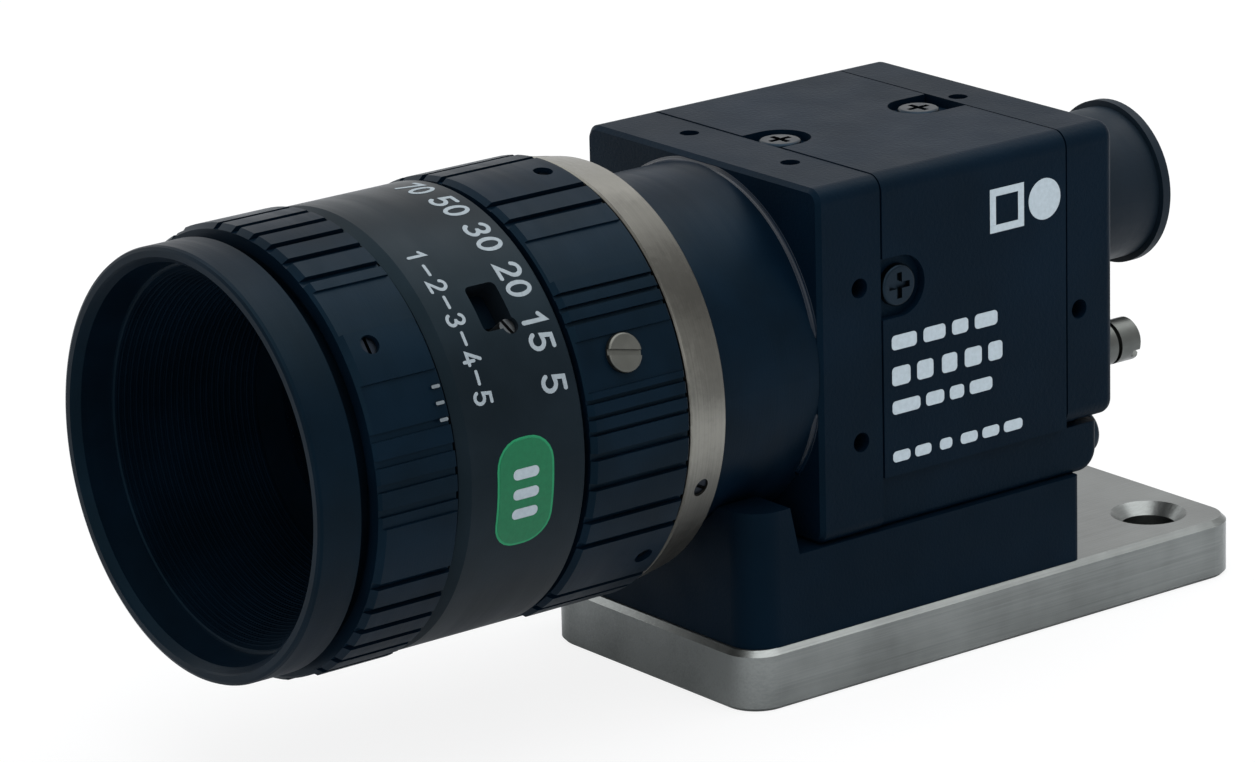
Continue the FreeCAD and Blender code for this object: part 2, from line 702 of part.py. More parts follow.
def fixed_barrel():
    """Main barrel: the printed band, the sleeve under the iris ring and the rear wall."""
    barrel = turned([(band_front, 16.25), (band_front, 16.95), (band_front + 0.85, band_radius),
                     (band_rear - 0.2, band_radius), (band_rear, band_radius - 0.2), (band_rear, barrel_sleeve),
                     (collar_front, barrel_sleeve), (collar_front, 11.8), (-17.3, 11.8),
                     (-17.3, sleeve_bore), (-35.3, sleeve_bore), (-35.3, 16.25)])
    window = radial_box(3.9, window_front, window_rear, window_angle, 14.5, 19)
    window = window.makeFillet(0.5, [edge for edge in window.Edges if abs(edge.Length - 4.5) < 0.01])
    guide_hole = radial_rod(guide_radius + 0.04, guide_y, guide_angle, 14.5, 19)
    slot = ring_sector(15.0, 16.6, iris_screw_y - 0.8, iris_screw_y + 0.8,
                       iris_screw_angle - 3.4, iris_screw_angle + iris_throw + 3.4)
    return cut(barrel, [window, guide_hole, slot])


def guide_pin():
    """Slotted pin in the barrel that keeps the lens cell from turning."""
    pin = grub(guide_radius, 2.4)
    pin.rotate(vec(0, 0, 0), vec(0, 0, 1), 25)
    pin.translate(vec(0, guide_y, axis_z + 17.0))
    return around(pin, guide_angle)


def lens_flange():
    """Rear flange of the lens with its mount thread."""
    return turned([(collar_front, 11.5), (collar_front, 14.95), (lens_seat, 14.95), (lens_seat, 12.65),
                   (-8.1, 12.65), (-7.87, 12.4), (-7.87, 11.5)])


def mount_collar():
    """Bright collar clamped round the rear flange."""
    collar = turned([(collar_front, 15.0), (collar_front, collar_radius_front - 0.15),
                     (collar_front + 0.15, collar_radius_front), (lens_seat - 0.15, collar_radius_rear),
                     (lens_seat, collar_radius_rear - 0.15), (lens_seat, 15.0)])
    return cut(collar, [radial_rod(0.76, -13.86, 109.7 + sector * turn, 14, 18) for turn in range(3)])


def collar_screws():
    """Slotted set screws of the bright collar."""
    screws = []
    for turn in range(3):
        piece = grub(0.74, 1.6)
        piece.rotate(vec(0, 0, 0), vec(0, 0, 1), 60)
        piece.translate(vec(0, -13.86, axis_z + 16.85))
        screws.append(around(piece, 109.7 + sector * turn))
    return group(screws)


# ---- Lens: focus ring --------------------------------------------------------------------------

def grip_tools(radius, front, rear, centre, fields, grooves, width):
    """Tools for the lowered fields and the grooves along a gripping ring, round one pad."""
    tools = [ring_sector(radius - flat_floor, radius + 1, front - 1, rear + 1, centre + start, centre + end)
             for start, end in fields]
    tools += [radial_box(width, front - 1, rear + 1, centre + groove, radius - groove_floor, radius + 1)
              for groove in grooves]
    return tools


def focus_ring():
    """Focus ring: smooth pads that carry the set screws, lowered fields beside them, ribs between."""
    ring = turned([(focus_front, barrel_sleeve), (focus_front, focus_radius - 0.4), (focus_front + 0.5, focus_radius),
                   (focus_rear - 0.2, focus_radius), (focus_rear, focus_radius - 0.2), (focus_rear, barrel_sleeve)])
    tools = []
    for turn in range(3):
        tools += grip_tools(focus_radius, focus_front, focus_rear, focus_pad + sector * turn, focus_fields,
                            focus_grooves, wide_groove)
        tools.append(radial_rod(0.78, focus_screw_y, focus_screw_angle + sector * turn, 15, 19))
    return cut(ring, tools)


def focus_set_screws():
    """Set screws that hold the focus ring to the helicoid sleeve."""
    screws = []
    for turn in range(3):
        piece = grub(0.76, 1.0)
        piece.translate(vec(0, focus_screw_y, axis_z + 17.22))
        screws.append(around(piece, focus_screw_angle + sector * turn))
    return group(screws)


def helicoid_sleeve():
    """Sleeve inside the focus ring whose thread drives the lens cell."""
    return turned([(-44.6, sleeve_bore), (-44.6, 16.18), (-35.42, 16.18), (-35.42, sleeve_bore)])


# ---- Lens: optical unit that slides ------------------------------------------------------------

def front_bezel():
    """Front ring with the filter thread and a stepped, tapering light baffle."""
    thread_end = bezel_front + filter_depth
    profile = [(bezel_front + 0.35, filter_thread), (bezel_front, filter_thread + 0.35),
               (bezel_front, bezel_radius - bezel_bevel), (bezel_front + bezel_bevel, bezel_radius),
               (bezel_rear, bezel_radius), (bezel_rear, 14.87), (-43.0, 14.87), (-43.0, 14.4),
               (baffle_end, 12.05), (baffle_end, baffle_throat)]
    run = (baffle_end - thread_end) / baffle_steps
    rise = (baffle_mouth - baffle_throat) / baffle_steps
    for step in range(baffle_steps):
        y = baffle_end - run * (step + 1)
        profile.append((y, baffle_throat + rise * step))
        profile.append((y, baffle_throat + rise * (step + 1)))
    profile.append((thread_end, filter_thread))
    return turned(profile)


def lens_cell():
    """Tube that holds the front elements and the iris, and slides in the barrel."""
    cell = turned([(bezel_rear, 14.92), (bezel_rear, cell_radius), (-20.9, cell_radius), (-20.9, 14.3),
                   (iris_plate_front, 14.3), (iris_plate_front, 10.2), (-31.2, 10.2), (-31.2, 9.4),
                   (-32.1, 9.4), (-32.1, 12.0), (-36.1, 12.0), (-36.1, 14.55), (-43.0, 14.55), (-43.0, 14.92)])
    reach = focus_travel + guide_radius + 0.1
    keyway = radial_box(2 * guide_radius + 0.1, guide_y - reach, guide_y + reach, guide_angle, 14.45, 17)
    notch = ring_sector(13.9, 15.6, drive_rear - 0.1, -20, iris_screw_angle - 8, iris_screw_angle + iris_throw + 8)
    return cut(cell, [keyway, notch])


def front_element():
    return glass_element(11.95, -36.6, 22.0, -33.14, 70.0)


def front_retainer():
    """Threaded ring that holds the front element."""
    return turned([(-36.1, baffle_throat), (-36.1, 11.98), (-33.66, 11.98), (-33.66, baffle_throat)])


def second_element():
    return glass_element(10.15, -32.15, 45.0, -30.0, 18.0)


def inner_retainer():
    """Threaded ring behind the second element."""
    return turned([(-26.84, 9.0), (-26.84, 10.18), (-25.7, 10.18), (-25.7, 9.0)])


def rear_cell():
    """Cell that closes the iris chamber and holds the rear elements."""
    cell = turned([(-22.8, 8.35), (-22.8, 14.26), (-21.4, 14.26), (-21.4, 11.2), (-16.4, 11.2), (-16.0, 10.8),
                   (-9.5, 10.8), (-9.5, 9.3), (-21.2, 9.3), (-21.2, 8.35)])
    slot = ring_sector(13.25, 15, -24, -20, iris_screw_angle - 9, iris_screw_angle + iris_throw + 9)
    return cut(cell, [slot])


def middle_element():
    return glass_element(9.25, -18.63, -18.0, -13.59, -20.0)


def rear_spacer():
    return turned([(-15.53, 8.6), (-15.53, 9.25), (-11.92, 9.25), (-11.92, 8.6)])


def rear_element():
    return glass_element(9.25, -13.16, 30.0, -9.64, -30.0)


def rear_retainer():
    """Threaded ring at the rear end of the lens."""
    return turned([(-10.82, 8.4), (-10.82, 9.27), (-9.6, 9.27), (-9.6, 8.4)])


# ---- Lens: iris --------------------------------------------------------------------------------

def polar(circle, angle, y=0.0):
    """Point at a radius and an angle about the optical axis."""
    turn = math.radians(angle)
    return vec(circle * math.sin(turn), y, axis_z + circle * math.cos(turn))


def iris_ring():
    """Iris ring: pads with set screws, lowered fields, and groups of wide and narrow grooves."""
    ring = turned([(iris_front, 16.28), (iris_front, iris_radius - 0.35), (iris_front + 0.45, iris_radius),
                   (iris_rear - 0.2, iris_radius), (iris_rear, iris_radius - 0.2), (iris_rear, 16.28)])
    tools = []
    for turn in range(3):
        centre = iris_pad + sector * turn
        tools += grip_tools(iris_radius, iris_front, iris_rear, centre, iris_fields, iris_wide_grooves, wide_groove)
        tools += grip_tools(iris_radius, iris_front, iris_rear, centre, (), iris_narrow_grooves, narrow_groove)
        tools.append(radial_rod(0.78, iris_grub_y, centre, 15, 19))
    tools.append(radial_rod(0.8, iris_screw_y, iris_screw_angle, 15, 19))
    return cut(ring, tools)


def iris_set_screws():
    """Set screws in the iris ring's pads."""
    screws = []
    for turn in range(3):
        piece = grub(0.76, 0.9)
        piece.translate(vec(0, iris_grub_y, axis_z + 17.22))
        screws.append(around(piece, iris_pad + sector * turn))
    return group(screws)


def iris_drive_screw():
    """Slotted screw in the iris ring: its pin passes the barrel's slot and turns the cam ring."""
    piece = screw(1.55, 0.5, 0.78, 0.85, "slot")
    piece = union([piece, rod(0.5, vec(0, 0, -3.75), vec(0, 0, -0.5))])
    piece.rotate(vec(0, 0, 0), vec(0, 0, 1), 78)
    piece.translate(vec(0, iris_screw_y, axis_z + iris_radius - flat_floor + 0.01))
    return around(piece, iris_screw_angle)


def iris_base_plate():
    """Fixed plate of the iris with the blades' pivot holes."""
    plate = turned([(iris_plate_front, 8.3), (iris_plate_front, 14.25), (blades_front - 0.1, 14.25),
                    (blades_front - 0.1, 8.3)])
    holes = []
    for blade in range(blade_count):
        foot = polar(pivot_circle, blade_phase + 60 * blade, iris_plate_front - 1)
        holes.append(rod(iris_pin + pivot_clear, foot, foot + vec(0, 3, 0)))
    return cut(plate, holes)


def cam_pin_place(turn):
    """Radius and angle of a blade's cam pin, seen from the cam ring, after the ring has turned."""
    swing = math.radians(blade_swing * turn / iris_throw)
    start = polar(cam_pin_circle, cam_pin_angle) - polar(pivot_circle, 0)
    x = start.x * math.cos(swing) + start.z * math.sin(swing)
    z = start.z * math.cos(swing) - start.x * math.sin(swing) + pivot_circle
    return math.hypot(x, z), math.degrees(math.atan2(x, z)) - turn


def cam_slot():
    """Curved slot that follows the cam pin over the ring's whole turn."""
    half = iris_pin + cam_clear
    steps = 12
    path = []
    for step in range(steps + 1):
        circle, angle = cam_pin_place(iris_throw * step / steps)
        path.append(polar(circle, angle, drive_front - 1))
    left = []
    right = []
    for step, point in enumerate(path):
        ahead = path[min(step + 1, steps)] - path[max(step - 1, 0)]
        across = ahead.cross(vec(0, 1, 0))
        across.normalize()
        left.append(point + across * half)
        right.append(point - across * half)
    end_way = (path[-1] - path[-2]).normalize()
    start_way = (path[0] - path[1]).normalize()
    left_curve = Part.BSplineCurve()
    left_curve.interpolate(left)
    right_curve = Part.BSplineCurve()
    right_curve.interpolate(right[::-1])
    edges = [left_curve.toShape(), Part.Arc(left[-1], path[-1] + end_way * half, right[-1]).toShape(),
             right_curve.toShape(), Part.Arc(right[0], path[0] + start_way * half, left[0]).toShape()]
    face = Part.Face(Part.Wire(edges))
    return as_solid(face.extrude(vec(0, 3, 0)))


def iris_cam_ring():
    """Ring that swings the blades through its cam slots; a fork behind it takes the drive pin."""
    ring = turned([(drive_front, 8.4), (drive_front, 14.22), (drive_rear, 14.22), (drive_rear, 8.4)])
    fork = ring_sector(13.35, 14.2, drive_rear - 0.1, -18.7, iris_screw_angle - 5.4, iris_screw_angle + 5.4)
    gap = radial_box(1.16, drive_rear, -18, iris_screw_angle, 12.8, 15)
    slot = cam_slot()
    slots = [around(slot, blade_phase + 60 * blade) for blade in range(blade_count)]
    return cut(union([ring, cut(fork, [gap])]), slots)


def iris_blade(number):
    """Curved blade with its pivot pin in front and its cam pin behind."""
    front = blades_front + blade_pitch * number
    rear = front + blade_thick
    crescent = ring_sector(blade_inner, blade_outer, front, rear, -6, 104)
    tip = polar((blade_inner + blade_outer) / 2, 104, front)
    tip_disc = rod((blade_outer - blade_inner) / 2, tip, tip + vec(0, blade_thick, 0))
    pivot = polar(pivot_circle, 0, front)
    tail = polar(cam_pin_circle, cam_pin_angle, front)
    ear = rod(1.35, pivot, pivot + vec(0, blade_thick, 0))
    heel = rod(0.85, tail, tail + vec(0, blade_thick, 0))
    along = tail - pivot
    across = along.cross(vec(0, 1, 0)).normalize() * 0.85
    arm = Part.Face(Part.makePolygon([pivot + across, tail + across, tail - across, pivot - across,
                                      pivot + across])).extrude(vec(0, blade_thick, 0))
    pivot_pin = rod(iris_pin, vec(pivot.x, iris_plate_front + 0.05, pivot.z), vec(pivot.x, rear, pivot.z))
    cam_pin = rod(iris_pin, vec(tail.x, front, tail.z), vec(tail.x, drive_rear - 0.05, tail.z))
    blade = union([crescent, tip_disc, ear, heel, as_solid(arm), pivot_pin, cam_pin])
    return around(blade, blade_phase + 60 * number)


# ---- Files -------------------------------------------------------------------------------------

camera_makers = [
    base_plate, plate_screws, mounting_base, base_screws,
    front_housing, wrap_cover, rear_housing, bottom_chassis, cover_screws, rear_screws, chassis_screws,
    mount_barrel, mount_thread_ring,
    filter_frame, infrared_filter, image_sensor, sensor_window,
    sensor_board, main_board, interface_board, board_spacers, board_screws,
    round_connector, connector_nut, round_insert, round_pins, connector_cap,
    interface_connector, interface_insert, jackscrews,
]
lens_makers = [
    fixed_barrel, guide_pin, lens_flange, mount_collar, collar_screws,
    focus_ring, focus_set_screws, helicoid_sleeve,
    front_bezel, lens_cell, front_element, front_retainer, second_element, inner_retainer,
    rear_cell, middle_element, rear_spacer, rear_element, rear_retainer,
    iris_ring, iris_set_screws, iris_drive_screw, iris_base_plate, iris_cam_ring,
]


def seated(shape):
    """A piece of the lens, moved to where the lens sits on the camera."""
    return shape.translated(vec(0, lens_seating, 0))


os.makedirs("parts", exist_ok=True)
for maker in camera_makers:
    maker().exportStep("parts/" + maker.__name__ + ".step")
for maker in lens_makers:
    seated(maker()).exportStep("parts/" + maker.__name__ + ".step")
for number in range(blade_count):
    seated(iris_blade(number)).exportStep("parts/iris_blade_" + str(number + 1) + ".step")
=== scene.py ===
import math

import bmesh
import bpy
from bpy.props import FloatProperty, FloatVectorProperty, IntProperty, PointerProperty
from mathutils import Matrix, Vector


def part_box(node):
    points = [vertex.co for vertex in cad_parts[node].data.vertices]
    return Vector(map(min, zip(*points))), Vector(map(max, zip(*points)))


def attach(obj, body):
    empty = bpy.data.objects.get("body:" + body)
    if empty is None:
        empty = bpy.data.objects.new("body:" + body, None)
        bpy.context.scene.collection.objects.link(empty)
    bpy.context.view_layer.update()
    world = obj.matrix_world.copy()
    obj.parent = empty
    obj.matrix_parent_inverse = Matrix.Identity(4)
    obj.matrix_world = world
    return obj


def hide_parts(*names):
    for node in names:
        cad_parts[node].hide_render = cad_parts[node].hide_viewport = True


bl_info = {
    "name": "Machine vision camera finish",
    "version": (1, 0, 0),
    "blender": (4, 5, 0),
    "location": "View3D > Sidebar > Vision Camera",
    "description": "Finishes, print and fine turned detail for a machine vision camera",
    "category": "Object",
}

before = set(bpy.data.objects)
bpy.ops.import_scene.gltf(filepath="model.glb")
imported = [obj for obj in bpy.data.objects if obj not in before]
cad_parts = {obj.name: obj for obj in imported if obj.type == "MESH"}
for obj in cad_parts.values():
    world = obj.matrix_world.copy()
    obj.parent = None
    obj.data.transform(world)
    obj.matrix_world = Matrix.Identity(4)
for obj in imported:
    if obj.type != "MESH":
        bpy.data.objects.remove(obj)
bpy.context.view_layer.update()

MM = 0.001
MICRON = 0.000001

# Places read from the frame. The lens looks along -Y, and the print is on the +X side
BEZEL_LOW, BEZEL_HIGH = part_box("front_bezel")
BAND_LOW, BAND_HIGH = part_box("fixed_barrel")
COVER_SIDE_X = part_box("wrap_cover")[1][0]
SEAT_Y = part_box("mount_collar")[1][1]           # rear face of the lens collar
AXIS_Z = (BEZEL_LOW[2] + BEZEL_HIGH[2]) / 2     # height of the optical axis
BAND_RADIUS = (BAND_HIGH[0] - BAND_LOW[0]) / 2
FOCUS_RADIUS = AXIS_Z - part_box("focus_ring")[0][2]
RIDGE_START = 3.35 * MM                         # depth of the first hood ridge behind the front lip

CAMERA_AZIMUTH = math.radians(52.0334)
CAMERA_ELEVATION = math.radians(16.9819)
CAMERA_ROLL = math.radians(-1.4852)
FLOOR_GLOW = 0.84                               # share of plain white in the floor that the camera sees


# ---- Settings a user would change --------------------------------------------------------------

class CameraFinishSettings(bpy.types.PropertyGroup):
    """Colours of the camera's finishes and prints."""
    body_black: FloatVectorProperty(
        name="Body black", description="Painted and anodised parts of the camera body",
        subtype="COLOR", size=3, min=0, max=1, default=(0.0010, 0.0046, 0.0105))
    lens_black: FloatVectorProperty(
        name="Lens black", description="Anodised rings of the lens",
        subtype="COLOR", size=3, min=0, max=1, default=(0.0013, 0.0048, 0.0100))
    print_white: FloatVectorProperty(
        name="Print", description="Screen print on the body and the lens",
        subtype="COLOR", size=3, min=0, max=1, default=(0.37, 0.43, 0.47))
    badge_green: FloatVectorProperty(
        name="Badge", description="Round-ended label on the lens band",
        subtype="COLOR", size=3, min=0, max=1, default=(0.008, 0.105, 0.046))
    steel: FloatVectorProperty(
        name="Plate steel", description="Ground steel of the plate",
        subtype="COLOR", size=3, min=0, max=1, default=(0.160, 0.170, 0.167))
    collar: FloatVectorProperty(
        name="Collar", description="Bright rear collar of the lens",
        subtype="COLOR", size=3, min=0, max=1, default=(0.098, 0.096, 0.086))


class CameraDetailSettings(bpy.types.PropertyGroup):
    """Sizes of the fine details."""
    print_rise: FloatProperty(
        name="Print thickness", description="How far print stands off its surface",
        unit="LENGTH", subtype="DISTANCE", min=0.000005, default=0.000025)
    baffle_ridges: IntProperty(
        name="Hood ridges", description="Fine ridges inside the front hood",
        min=6, max=80, default=24)
    lip_width: FloatProperty(
        name="Front lip width", description="Flat width of the lip round the front ring",
        unit="LENGTH", subtype="DISTANCE", min=0.0001, max=0.0012, default=0.0005)


class CameraStageSettings(bpy.types.PropertyGroup):
    """Camera and studio."""
    focal_length: FloatProperty(
        name="Focal length", description="Lens of the scene's camera, in millimetres",
        unit="CAMERA", min=10, default=176.10)
    camera_place: FloatVectorProperty(
        name="Camera place", description="Where the scene's camera stands",
        subtype="TRANSLATION", size=3, default=(0.36600, -0.29337, 0.16606))
    backdrop: FloatVectorProperty(
        name="Backdrop", description="Colour of the floor and backdrop",
        subtype="COLOR", size=3, min=0, max=1, default=(0.80, 0.81, 0.82))


# ---- Material building blocks ------------------------------------------------------------------

class Finish:
    """A node material under construction, with coordinates fixed to the piece."""

    def __init__(self, name):
        self.material = bpy.data.materials.new(name)
        self.material.use_nodes = True
        self.tree = self.material.node_tree
        self.shader = self.tree.nodes["Principled BSDF"]
        self.place = self.tree.nodes.new("ShaderNodeTexCoord").outputs["Object"]
        self.height = None

    def node(self, kind, **inputs):
        """A new node with these constants; an underscore stands for a space in a socket's name."""
        made = self.tree.nodes.new(kind)
        for key, value in inputs.items():
            made.inputs[key.replace("_", " ")].default_value = value
        return made

    def link(self, source, target):
        self.tree.links.new(source, target)

    def maths(self, operation, first, second=0.0):
        """A sum of two sockets or numbers."""
        made = self.tree.nodes.new("ShaderNodeMath")
        made.operation = operation
        for socket, value in zip(made.inputs, (first, second)):
            if hasattr(value, "is_linked"):
                self.link(value, socket)
            else:
                socket.default_value = value
        return made.outputs[0]

    def noise(self, scale, detail=3.0, roughness=0.5, stretch=(1, 1, 1), about_axis=False):
        """Noise in the piece's own space. About the axis it becomes rings round the optical axis."""
        mapping = self.node("ShaderNodeMapping", Scale=stretch)
        self.link(self.round_place() if about_axis else self.place, mapping.inputs["Vector"])
        made = self.node("ShaderNodeTexNoise", Scale=scale, Detail=detail, Roughness=roughness)
        self.link(mapping.outputs[0], made.inputs["Vector"])
        return made.outputs["Fac"]

    def round_place(self):
        """Coordinates (radius, Y, arc) about the optical axis, the arc at the lens rings' radius."""
        ring_radius = 16 * MM
        split = self.tree.nodes.new("ShaderNodeSeparateXYZ")
        self.link(self.place, split.inputs[0])
        up = self.maths("SUBTRACT", split.outputs[2], AXIS_Z)
        square = self.maths("ADD", self.maths("POWER", split.outputs[0], 2.0), self.maths("POWER", up, 2.0))
        radius = self.maths("SQRT", square)
        arc_length = self.maths("MULTIPLY", self.maths("ARCTAN2", split.outputs[0], up), ring_radius)
        joined = self.tree.nodes.new("ShaderNodeCombineXYZ")
        for source, socket in zip((radius, split.outputs[1], arc_length), joined.inputs):
            self.link(source, socket)
        return joined.outputs[0]

    def blend(self, *parts):
        """Weighted sum of (source, share) pairs."""
        total = None
        for source, share in parts:
            weighted = self.maths("MULTIPLY", source, share)
            total = weighted if total is None else self.maths("ADD", total, weighted)
        return total

    def ramp(self, source, stops):
        """Colours at positions along a source, run into each other."""
        made = self.tree.nodes.new("ShaderNodeValToRGB")
        elements = made.color_ramp.elements
        while len(elements) < len(stops):
            elements.new(0.5)
        for element, (position, colour) in zip(elements, stops):
            element.position = position
            element.color = (*colour, 1.0)
        self.link(source, made.inputs[0])
        return made.outputs[0]

    def colour(self, source, low, high, start=0.35, end=0.65):
        """Base colour that varies between two tones."""
        self.link(self.ramp(source, [(start, low), (end, high)]), self.shader.inputs["Base Color"])

    def rough(self, source, span):
        """Roughness that wanders between the two values of a span."""
        made = self.node("ShaderNodeMapRange", From_Min=0.3, From_Max=0.7, To_Min=span[0], To_Max=span[1])
        self.link(source, made.inputs["Value"])
        self.link(made.outputs[0], self.shader.inputs["Roughness"])

    def bump(self, source, depth):
        """Relief of a real depth in metres; calls stack."""
        made = self.node("ShaderNodeBump", Strength=1.0, Distance=depth)
        self.link(source, made.inputs["Height"])
        if self.height is not None:
            self.link(self.height, made.inputs["Normal"])
        self.height = made.outputs[0]
        self.link(self.height, self.shader.inputs["Normal"])

    def set(self, **inputs):
        """Constants of the shader itself; hands back the finished material."""
        for key, value in inputs.items():
            self.shader.inputs[key.replace("_", " ")].default_value = value
        return self.material


BLUED_SHEEN = (0.40, 0.78, 1.0, 1.0)    # tint of the gloss on black paint and anodising


def tint(colour, factor):
    """A lighter or darker tone of a colour."""
    return tuple(min(1.0, channel * factor) for channel in colour)


def painted_texture(name, colour, grain, depth, rough):
    """Fine textured black paint over metal, with faint cloudiness."""
    finish = Finish(name)
    finish.colour(finish.noise(90, 4), tint(colour, 0.85), tint(colour, 1.2))
    finish.rough(finish.noise(260, 3), rough)
    finish.bump(finish.noise(grain, 2, 0.6), depth)
    return finish.set(Specular_IOR_Level=0.05, Specular_Tint=BLUED_SHEEN)


def turned_anodised(name, colour, line_depth, rough, gloss=0.06, sheen=BLUED_SHEEN):
    """Black anodised metal off the lathe: fine lines round the axis."""
    finish = Finish(name)
    finish.colour(finish.noise(160, 3), tint(colour, 0.8), tint(colour, 1.25))
    finish.rough(finish.noise(700, 3, 0.6, (1, 1, 0.05), about_axis=True), rough)
    finish.bump(finish.noise(9000, 2, 0.6, (1, 1, 0.004), about_axis=True), line_depth)
    finish.bump(finish.noise(5000, 2), line_depth * 0.6)
    return finish.set(Specular_IOR_Level=gloss, Specular_Tint=sheen)


def turned_metal(name, colour, line_depth, rough):
    """Bright turned metal with lines round the axis."""
    finish = Finish(name)
    lines = finish.noise(7000, 3, 0.6, (1, 1, 0.003), about_axis=True)
    finish.colour(lines, tint(colour, 0.86), tint(colour, 1.1))
    finish.rough(finish.noise(500, 3, 0.6, (1, 1, 0.1), about_axis=True), rough)
    finish.bump(lines, line_depth)
    return finish.set(Metallic=1.0)


def clamped_collar(name, colour):
    """Turned nickel collar with painted reflection: light and dark bands painted round the ring, and a few
    handling marks.
    """
    finish = Finish(name)
    # painted reflection: light and dark bands round the ring, from half to nearly twice the collar's colour,
    # stand in for the room seen in the polished metal
    painted_reflection_bands = finish.noise(95, 1.5, 0.4, (1, 0.2, 1), about_axis=True)
    lines = finish.noise(6000, 3, 0.6, (1, 1, 0.003), about_axis=True)
    marks = finish.noise(1500, 4, 0.7)
    tones = finish.ramp(finish.blend((painted_reflection_bands, 0.8), (lines, 0.1), (marks, 0.1)),
                        [(0.38, tint(colour, 0.55)), (0.50, colour), (0.60, tint(colour, 1.9))])
    finish.link(tones, finish.shader.inputs["Base Color"])
    finish.rough(marks, (0.32, 0.46))
    finish.bump(lines, 9 * MICRON)
    return finish.set(Metallic=1.0)


def ground_steel(name, colour):
    """Plate steel ground along its length, with soft cloudy tones and faint scratches."""
    finish = Finish(name)
    lines = finish.noise(6000, 3, 0.6, (1, 0.012, 1))
    cloud = finish.noise(60, 4, 0.6)
    tones = finish.blend((lines, 0.24), (cloud, 0.76))
    finish.colour(tones, tint(colour, 0.78), tint(colour, 1.22), 0.40, 0.60)
    finish.rough(cloud, (0.26, 0.40))
    finish.bump(lines, 12 * MICRON)
    finish.bump(finish.noise(900, 4, 0.7), 10 * MICRON)
    return finish.set(Metallic=1.0)


def plain_metal(name, colour, rough):
    """Machined or plated metal with a faint uneven sheen."""
    finish = Finish(name)
    cloud = finish.noise(400, 3)
    finish.colour(cloud, tint(colour, 0.88), tint(colour, 1.08))
    finish.rough(cloud, rough)
    finish.bump(finish.noise(2500, 2), 6 * MICRON)
    return finish.set(Metallic=1.0)


def moulded(name, colour, rough, gloss=0.3):
    """Moulded plastic with a spark-eroded skin."""
    finish = Finish(name)
    finish.colour(finish.noise(120, 3), tint(colour, 0.9), tint(colour, 1.12))
    finish.rough(finish.noise(400, 2), rough)
    finish.bump(finish.noise(1800, 2), 12 * MICRON)
    return finish.set(Specular_IOR_Level=gloss)


def circuit_laminate(name):
    """Green solder mask with copper tracks under it."""
    finish = Finish(name)
    cells = finish.node("ShaderNodeTexVoronoi", Scale=700)
    cells.distance = "CHEBYCHEV"
    finish.link(finish.place, cells.inputs["Vector"])
    finish.colour(cells.outputs["Distance"], (0.012, 0.10, 0.035), (0.03, 0.20, 0.08), 0.2, 0.6)
    finish.rough(finish.noise(300, 2), (0.25, 0.4))
    finish.bump(cells.outputs["Distance"], 20 * MICRON)
    return finish.set(Specular_IOR_Level=0.5)


def optical_glass(name, colour, coat):
    """Coated lens glass: clear, with a faint tinted reflection."""
    finish = Finish(name)
    finish.colour(finish.noise(30, 1), tint(colour, 0.97), colour)
    finish.rough(finish.noise(800, 2), (0.002, 0.02))
    return finish.set(Transmission_Weight=1.0, IOR=1.5, Coat_Weight=coat, Coat_Roughness=0.02, Coat_IOR=1.4,
                      Coat_Tint=(0.75, 0.85, 1.0, 1.0))


def print_ink(name, colour, rough=0.5):
    """Screen print with a slightly broken surface."""
    finish = Finish(name)
    finish.colour(finish.noise(2600, 3, 0.6), tint(colour, 0.93), tint(colour, 1.04))
    finish.rough(finish.noise(900, 2), (rough - 0.06, rough + 0.06))
    finish.bump(finish.noise(5200, 2), 4 * MICRON)
    return finish.set(Specular_IOR_Level=0.12)


# ---- Mesh building blocks ----------------------------------------------------------------------

def add_piece(name, mesh, material, body, smooth=False):
    """Put a mesh in the scene with its material, riding on a body."""
    mesh.materials.append(material)
    for polygon in mesh.polygons:
        polygon.use_smooth = smooth
    piece = bpy.data.objects.new(name, mesh)
    bpy.context.scene.collection.objects.link(piece)
    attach(piece, body)
    return piece


def finished_mesh(name, build):
    """Mesh data from a bmesh, which is used up."""
    mesh = bpy.data.meshes.new(name)
    build.to_mesh(mesh)
    build.free()
    return mesh


def point_round_axis(radius, angle, y):
    """Point at an angle from the top towards +X round the optical axis."""
    return Vector((radius * math.sin(angle), y, AXIS_Z + radius * math.cos(angle)))


def join_rows(build, here, there):
    """Faces between two closed rows of points."""
    for index in range(len(here)):
        after = (index + 1) % len(here)
        build.faces.new((here[index], here[after], there[after], there[index]))


def turned_mesh(name, profile, segments):
    """Closed ring from a closed (y, radius) profile about the optical axis."""
    build = bmesh.new()
    rows = []
    for step in range(segments):
        angle = 2 * math.pi * step / segments
        rows.append([build.verts.new(point_round_axis(radius, angle, y)) for y, radius in profile])
    for step in range(segments):
        join_rows(build, rows[step], rows[(step + 1) % segments])
    bmesh.ops.recalc_face_normals(build, faces=build.faces)
    return finished_mesh(name, build)


def arc(centre_x, centre_y, radius_x, radius_y, start, end, steps=14):
    """Points of an ellipse's arc; angles in degrees from +x."""
    points = []
    for step in range(steps + 1):
        angle = math.radians(start + (end - start) * step / steps)
        points.append((centre_x + radius_x * math.cos(angle), centre_y + radius_y * math.sin(angle)))
    return points


